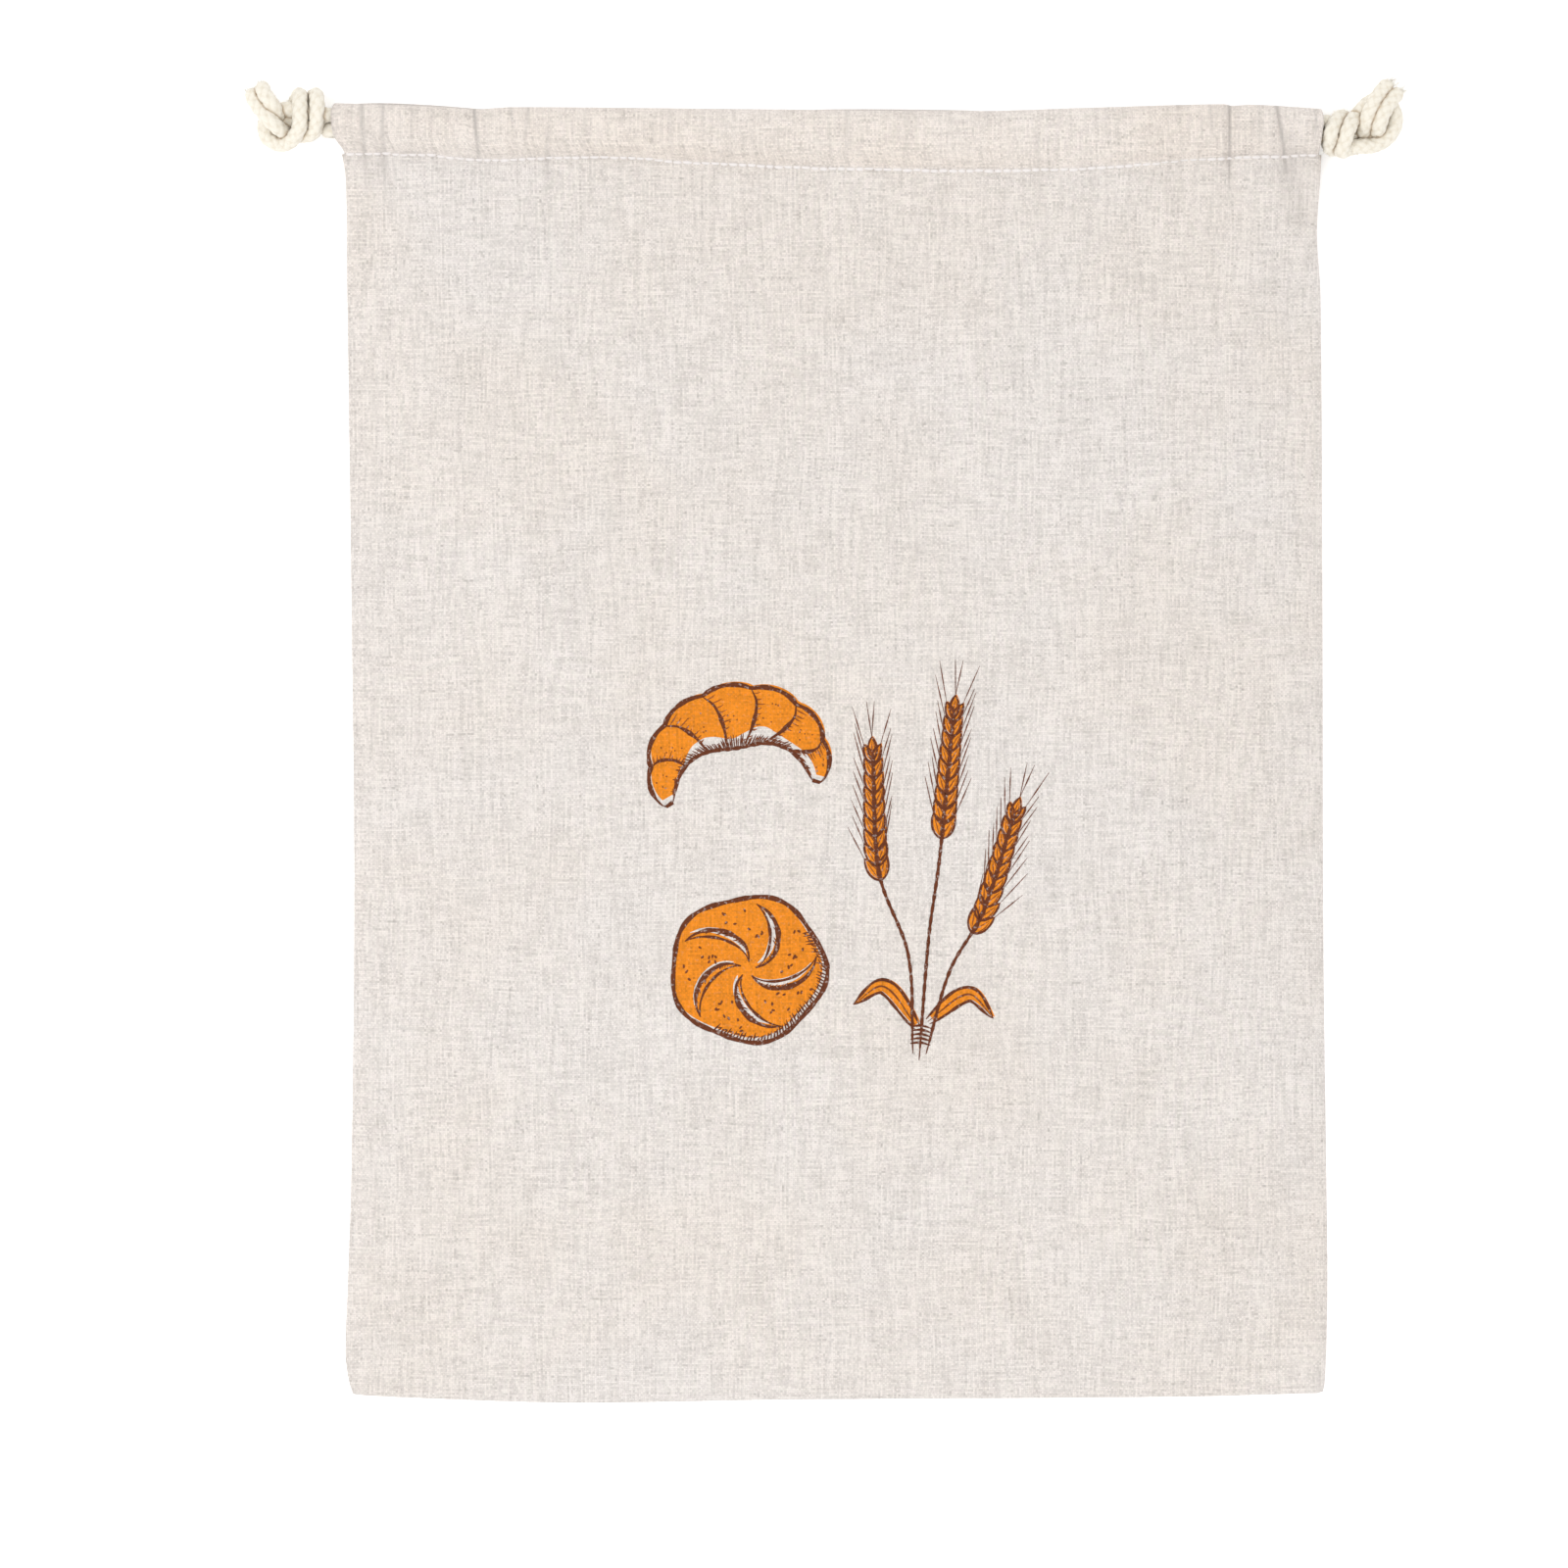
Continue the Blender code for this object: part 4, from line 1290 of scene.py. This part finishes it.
class Ink:
    """Flat shapes printed in one ink, in millimetres. Each lies a hair above the one before."""

    def __init__(self, seed):
        self.rng = random.Random(seed)
        self.mesh = bmesh.new()
        self.level = self.mesh.verts.layers.float.new("level")
        self.thin = self.mesh.verts.layers.float.new("thin")
        self.shapes = 0

    def point(self, x, y, thin=0.0):
        made = self.mesh.verts.new((x, y, 0))
        made[self.level], made[self.thin] = self.shapes % INK_LEVELS, thin
        return made

    def stroke(self, line, width, thin=0.0, ends=0.3, smoothed=True):
        """A drawn line with tapered ends and a slightly unsteady width."""
        self.shapes += 1
        points = [Vector((*p, 0)) for p in line]
        if smoothed:
            points = smooth_line(points, 0.9)
        last = len(points) - 1
        drift = self.rng.uniform(0, 9)
        pairs = []
        for i, here in enumerate(points):
            run = points[min(i + 1, last)] - points[max(i - 1, 0)]
            run = run.normalized() if run.length else Vector((1, 0, 0))
            t = i / last
            wide = width * (1 + 0.16 * math.sin(i * 0.9 + drift) + self.rng.uniform(-0.1, 0.1))
            wide *= min(1.0, 0.25 + 0.75 * min(t, 1 - t) / ends) if ends else 1.0
            aside = Vector((-run.y, run.x, 0)) * wide / 2
            pairs.append([self.point(*(here + aside * k).xy, thin) for k in (1, -1)])
        for (a, b), (c, d) in zip(pairs, pairs[1:]):
            self.mesh.faces.new((a, b, d, c))

    def patch(self, outline, holes=()):
        """A filled shape, with holes left out."""
        self.shapes += 1
        loops = [[Vector((*p, 0)) for p in loop] for loop in (outline, *holes)]
        flat = [self.point(p.x, p.y) for loop in loops for p in loop]
        for corners in tessellate_polygon(loops):
            self.mesh.faces.new([flat[k] for k in corners])

    def spot(self, x, y, size, long=1.0, turn=0.0, thin=0.0):
        """A small uneven dab."""
        self.shapes += 1
        ring = []
        for k in range(7):
            a = math.tau * k / 7
            out = size / 2 * self.rng.uniform(0.8, 1.15)
            u, v = out * long * math.cos(a), out * math.sin(a)
            ring.append(self.point(x + u * math.cos(turn) - v * math.sin(turn),
                                   y + u * math.sin(turn) + v * math.cos(turn), thin))
        self.mesh.faces.new(ring)

    def lay(self, name, read, lift):
        """The finished mesh: cut along a grid, and laid on the cloth."""
        reach = [f(v.co[axis] for v in self.mesh.verts) for axis in (0, 1) for f in (min, max)]
        for axis in (0, 1):
            line = reach[axis * 2] + INK_GRID
            while line < reach[axis * 2 + 1]:
                place, way = [0, 0, 0], [0, 0, 0]
                place[axis], way[axis] = line, 1
                everything = self.mesh.verts[:] + self.mesh.edges[:] + self.mesh.faces[:]
                bmesh.ops.bisect_plane(self.mesh, geom=everything, plane_co=place, plane_no=way)
                line += INK_GRID
        uv = self.mesh.loops.layers.uv.new("cloth")
        for vert in self.mesh.verts:
            spot, out, place = read(vert.co.x * MM, vert.co.y * MM)
            vert.co = spot + out * (lift + vert[self.level] * INK_STEP)
            for loop in vert.link_loops:
                loop[uv].uv = place
        bmesh.ops.recalc_face_normals(self.mesh, faces=self.mesh.faces)
        upside_down = [face for face in self.mesh.faces if face.normal.z < 0]
        bmesh.ops.reverse_faces(self.mesh, faces=upside_down)
        return finished_mesh(name, self.mesh)


def placed(middle_x, middle_y, degrees):
    """A function that puts a motif's own flat place on the bag, in millimetres."""
    c, s = math.cos(math.radians(degrees)), math.sin(math.radians(degrees))
    return lambda x, y: (middle_x + x * c - y * s, middle_y + x * s + y * c)


def crescent_roll(orange, brown, at):
    """A crescent rolled up in seven humps, its horns turned down."""
    humps = 7

    def rim(u, depth, aside=(0.0, 0.0)):
        """A place on it, u from the left horn to the right one and depth from the outside in."""
        turn = math.radians(206 - 232 * u)
        thick = 2.5 + 15.5 * math.sin(math.pi * min(max(u, 0.0), 1.0)) ** 0.8
        hump = 1.5 * abs(math.sin(math.pi * humps * u)) ** 0.6 * (1 - depth)
        out = 26.5 - thick * depth + hump
        return at(out * math.cos(turn) + aside[0], (out - 4.0) * math.sin(turn) + aside[1])

    steps = [i / 90 for i in range(91)]
    outer = [rim(u, 0.0) for u in steps]
    inner = [rim(u, 1.0) for u in steps]
    shift = (0.9, 0.8)
    orange.patch([rim(0.02 + 0.97 * u, 0.0, shift) for u in steps]
                 + [rim(0.02 + 0.97 * u, 0.80 + 0.08 * math.sin(u * 17), shift)
                    for u in reversed(steps)])
    brown.stroke(outer, 1.35, smoothed=False, ends=0.06)
    brown.stroke(inner, 1.2, smoothed=False, ends=0.06)
    brown.stroke([inner[0], outer[0]], 1.2, ends=0)
    brown.stroke([inner[-1], outer[-1]], 1.2, ends=0)
    for k in range(1, humps):
        u = k / humps
        brown.stroke([rim(u, 0.0), rim(u + 0.022, 0.25), rim(u + 0.03, 0.6), rim(u, 1.0)], 1.3,
                     ends=0.5)
        for j in range(9):
            depth = 0.1 + 0.09 * j + brown.rng.uniform(-0.02, 0.02)
            start = u + 0.03 * math.sin(math.pi * depth)
            long = brown.rng.uniform(0.018, 0.042)
            brown.stroke([rim(start, depth), rim(start + long / 2, depth + 0.012),
                          rim(start + long, depth - 0.005)], 0.55, thin=0.7, ends=0.7)
    for i in range(64):
        u = 0.03 + 0.94 * i / 63 + brown.rng.uniform(-0.004, 0.004)
        deep = brown.rng.uniform(0.10, 0.24)
        brown.stroke([rim(u, 1.0), rim(u + 0.006, 1.0 - deep)], 0.6, ends=0.6)
        if i % 3 == 0:
            brown.stroke([rim(u - 0.012, 0.9), rim(u + 0.014, 0.87)], 0.5, thin=0.3, ends=0.6)
    for k in range(humps):
        for _ in range(5):
            u = (k + brown.rng.uniform(0.4, 0.8)) / humps
            brown.spot(*rim(u, brown.rng.uniform(0.2, 0.62)), 0.55, thin=0.5)


def round_roll(orange, brown, at):
    """A round roll with five curved cuts from its middle, and seeds on it."""

    def rim(turn, share, aside=(0.0, 0.0)):
        out = 23.5 * (1 + 0.035 * math.cos(5 * turn + 0.4)) * share
        return at(out * math.cos(turn) + aside[0], out * 0.94 * math.sin(turn) + aside[1])

    around = [math.tau * i / 110 for i in range(111)]
    shift = (-0.8, 0.9)
    cuts = []
    for k in range(5):
        base = math.tau * k / 5 + 0.2
        first, second = [], []
        for i in range(13):
            t = i / 12
            first.append((base + 1.25 * t**1.4, 0.10 + 0.80 * t))
            wide = 0.30 * math.sin(math.pi * t**0.8)
            second.append((base + 1.25 * t**1.4 + wide, 0.10 + 0.80 * t))
        cuts.append((first, second))
    orange.patch([rim(a, 0.97, shift) for a in around[:-1]],
                 [[rim(a, r, shift) for a, r in first[1:-1]]
                  + [rim(a - 0.05, r, shift) for a, r in reversed(second[1:-1])]
                  for first, second in cuts])
    brown.stroke([rim(a, 1.0) for a in around], 1.4, smoothed=False, ends=0)
    for first, second in cuts:
        brown.stroke([rim(*p) for p in first], 1.5, ends=0.4)
        brown.stroke([rim(*p) for p in second], 0.9, ends=0.4)
        for i in range(2, 12):
            for step in (0.0, 0.5):
                if i + step > 11:
                    continue
                low = min(i + 1, 12)
                a = first[i][0] + (first[low][0] - first[i][0]) * step
                r = first[i][1] + (first[low][1] - first[i][1]) * step
                b = second[i][0] + (second[low][0] - second[i][0]) * step
                far = brown.rng.uniform(0.35, 0.75)
                brown.stroke([rim(a, r), rim(a + (b - a) * far, r + 0.015)], 0.6, thin=0.15,
                             ends=0.7)
        for _ in range(10):
            a = first[6][0] - brown.rng.uniform(0.15, 0.75)
            r = brown.rng.uniform(0.42, 0.88)
            bent = (r - 0.5) * 1.2
            brown.spot(*rim(a + bent, r), 0.75, 1.7, brown.rng.uniform(0, 3.1), thin=0.2)
    for i in range(58):
        a = math.radians(-118 + 150 * i / 57)
        inwards = rim(a + 0.05, 1 - brown.rng.uniform(0.07, 0.15))
        brown.stroke([rim(a, 1.0), inwards], 0.65, ends=0.6)
        if i % 2:
            brown.stroke([rim(a - 0.03, 0.93), rim(a + 0.05, 0.91)], 0.5, ends=0.6)


def wheat_ears(orange, brown, at):
    """Three ears of wheat on bent stems, with two leaves."""

    def grain(foot, way, long, wide):
        """One grain, from its foot along a direction."""
        c, s = math.cos(way), math.sin(way)

        def there(side, t, shift=0.0):
            out = side * wide * math.sin(math.pi * t) ** 0.75 * (1.15 - 0.45 * t)
            x, y = foot[0] + shift, foot[1] + shift
            return x + c * long * t - s * out, y + s * long * t + c * out

        edge_line = [there(1, i / 7) for i in range(8)]
        edge_line += [there(-1, i / 7) for i in range(6, -1, -1)]
        orange.patch([there(1, i / 7, 0.35) for i in range(8)]
                     + [there(-1, i / 7, 0.35) for i in range(6, 0, -1)])
        brown.stroke(edge_line, 0.7, smoothed=False, ends=0)
        brown.stroke([there(0.25, 0.15), there(0.1, 0.5), there(0, 0.8)], 0.45, thin=0.6, ends=0.6)
        brown.stroke([there(-0.7, 0.2), there(-0.6, 0.5), there(-0.3, 0.75)], 0.45, thin=0.4,
                     ends=0.6)
        return there(0, 1.0)

    def onwards(start, way, far):
        return start[0] + far * math.cos(way), start[1] + far * math.sin(way)

    ears = (
        ((-2, -50), (-5, -20), (-15, 4), (-19, 40)),
        ((0, -52), (1, -14), (3, 10), (5, 54)),
        ((2, -50), (8, -24), (17, -6), (25, 24)),
    )
    for points in ears:
        line = smooth_line([Vector((*at(*p), 0)) for p in points], 0.5)
        brown.stroke([p.xy for p in line], 1.0, smoothed=False, ends=0.1)
        last = len(line) - 1
        for k in range(9):
            i = last - 4 - (8 - k) * 9
            here, ahead = line[i], line[min(i + 4, last)] - line[i - 4]
            way = math.atan2(ahead.y, ahead.x)
            size = 1 - 0.03 * k
            for side in (1, -1):
                tip = grain(here.xy, way + side * 0.42, 8.2 * size, 1.75 * size)
                lean = way + side * brown.rng.uniform(0.24, 0.34)
                brown.stroke([tip, onwards(tip, lean, brown.rng.uniform(9, 13))], 0.5, thin=0.1,
                             ends=0.8)
        ahead = line[-1] - line[-6]
        way = math.atan2(ahead.y, ahead.x)
        tip = grain(line[-3].xy, way, 7.0, 1.5)
        for lean in (-0.12, 0.1):
            brown.stroke([tip, onwards(tip, way + lean, 11)], 0.5, ends=0.8)
    for leaf in (((-1, -42), (-12, -30), (-21, -36)), ((2, -40), (14, -31), (22, -38))):
        middle = smooth_line([Vector((*at(*p), 0)) for p in leaf], 1.0)
        last = len(middle) - 1
        upper, lower = [], []
        for i, here in enumerate(middle):
            run = (middle[min(i + 1, last)] - middle[max(i - 1, 0)]).normalized()
            wide = 2.3 * math.sin(math.pi * min(i / last * 0.9 + 0.1, 1.0)) ** 0.8
            upper.append((here + Vector((-run.y, run.x, 0)) * wide).xy)
            lower.append((here - Vector((-run.y, run.x, 0)) * wide).xy)
        orange.patch([(x + 0.5, y + 0.4) for x, y in upper[1:] + lower[-2:0:-1]])
        brown.stroke(upper, 0.9, smoothed=False, ends=0.15)
        brown.stroke(lower, 0.9, smoothed=False, ends=0.15)
        brown.stroke([p.xy for p in middle], 0.6, thin=0.3, smoothed=False, ends=0.4)
    for k in range(5):
        y = -47 + 1.3 * k
        brown.stroke([at(-3.0, y), at(0, y + 0.5), at(3.2, y - 0.2)], 0.9, ends=0.4)


def ink_material(name, cloth, ink, thin_ink, bare):
    """Ink in the weave: it takes the threads' tone, and misses them here and there."""
    made, tree, shader = new_material(name, 0.85, sheen=0.05, specular=0.2)
    weave = weave_in(tree, cloth)
    colour = mix(tree, kept(tree, "thin"), (*ink, 1), (*thin_ink, 1))
    tone = ramp(tree, weave["Color"], cloth.dark_thread_and_shade[1], cloth.light_thread[1], 0.5, 1.12)
    colour = mix(tree, 1.0, colour, tone, "MULTIPLY")
    missed = ramp(tree, noise(tree, cloth_place(tree), 900.0, 2.0, "2D")[0], 0.60, 0.72, 0.0, bare)
    tree.links.new(mix(tree, missed, colour, weave["Color"]), shader["Base Color"])
    tree.links.new(bump(tree, weave["Height"], 0.13 * MM), shader["Normal"])
    return made


class BREADBAG_OT_print(bpy.types.Operator):
    """Add the two-colour print of a crescent roll, a round roll and wheat"""

    bl_idname = "breadbag.print"
    bl_label = "Print"

    def execute(self, context):
        ink, cloth = context.scene.bread_bag_print, context.scene.bread_bag_cloth
        read = cloth_surface()
        orange, brown = Ink(21), Ink(22)
        crescent_roll(orange, brown, placed(-29, -3, 9))
        round_roll(orange, brown, placed(-26, -66, 0))
        wheat_ears(orange, brown, placed(29, -42, -3))
        for name, shapes, colour, thin, lift, bare in (
            ("orange", orange, ink.orange, ink.orange, 0.04 * MM, ink.bare * 0.2),
            ("brown", brown, ink.brown, ink.thin_brown, 0.09 * MM, ink.bare),
        ):
            data = shapes.lay(f"print_{name}", read, lift)
            piece(f"print_{name}", data, ink_material(f"{name} ink", cloth, colour, thin, bare))
        return {"FINISHED"}


# ---------------------------------------------------------------- panel and start


class BREADBAG_PT_panel(bpy.types.Panel):
    bl_idname = "BREADBAG_PT_panel"
    bl_label = "Linen bread bag"
    bl_space_type = "VIEW_3D"
    bl_region_type = "UI"
    bl_category = "Bread bag"

    def draw(self, context):
        for group, operator in STEPS:
            box = self.layout.box()
            box.operator(operator.bl_idname, text=operator.bl_label)
            settings = getattr(context.scene, group)
            for name in settings.bl_rna.properties.keys():
                if name not in ("rna_type", "name"):
                    box.prop(settings, name)


STEPS = (
    ("bread_bag_stage", BREADBAG_OT_stage),
    ("bread_bag_cords", BREADBAG_OT_cords),
    ("bread_bag_cloth", BREADBAG_OT_linen),
    ("bread_bag_stitches", BREADBAG_OT_stitches),
    ("bread_bag_print", BREADBAG_OT_print),
)
SETTINGS = {
    "bread_bag_stage": BreadBagStage,
    "bread_bag_cords": BreadBagCords,
    "bread_bag_cloth": BreadBagCloth,
    "bread_bag_stitches": BreadBagStitches,
    "bread_bag_print": BreadBagPrint,
}


def register():
    for name, group in SETTINGS.items():
        bpy.utils.register_class(group)
        setattr(bpy.types.Scene, name, bpy.props.PointerProperty(type=group))
    for _, operator in STEPS:
        bpy.utils.register_class(operator)
    bpy.utils.register_class(BREADBAG_PT_panel)


def unregister():
    bpy.utils.unregister_class(BREADBAG_PT_panel)
    for _, operator in reversed(STEPS):
        bpy.utils.unregister_class(operator)
    for name, group in reversed(SETTINGS.items()):
        delattr(bpy.types.Scene, name)
        bpy.utils.unregister_class(group)


def main():
    register()
    weave_group()
    fibre_group()
    bpy.ops.breadbag.stage()
    bpy.ops.breadbag.cords()
    bpy.ops.breadbag.linen()
    bpy.ops.breadbag.stitches()
    bpy.ops.breadbag.print()
    deselect_all()


if __name__ == "__main__":
    main()
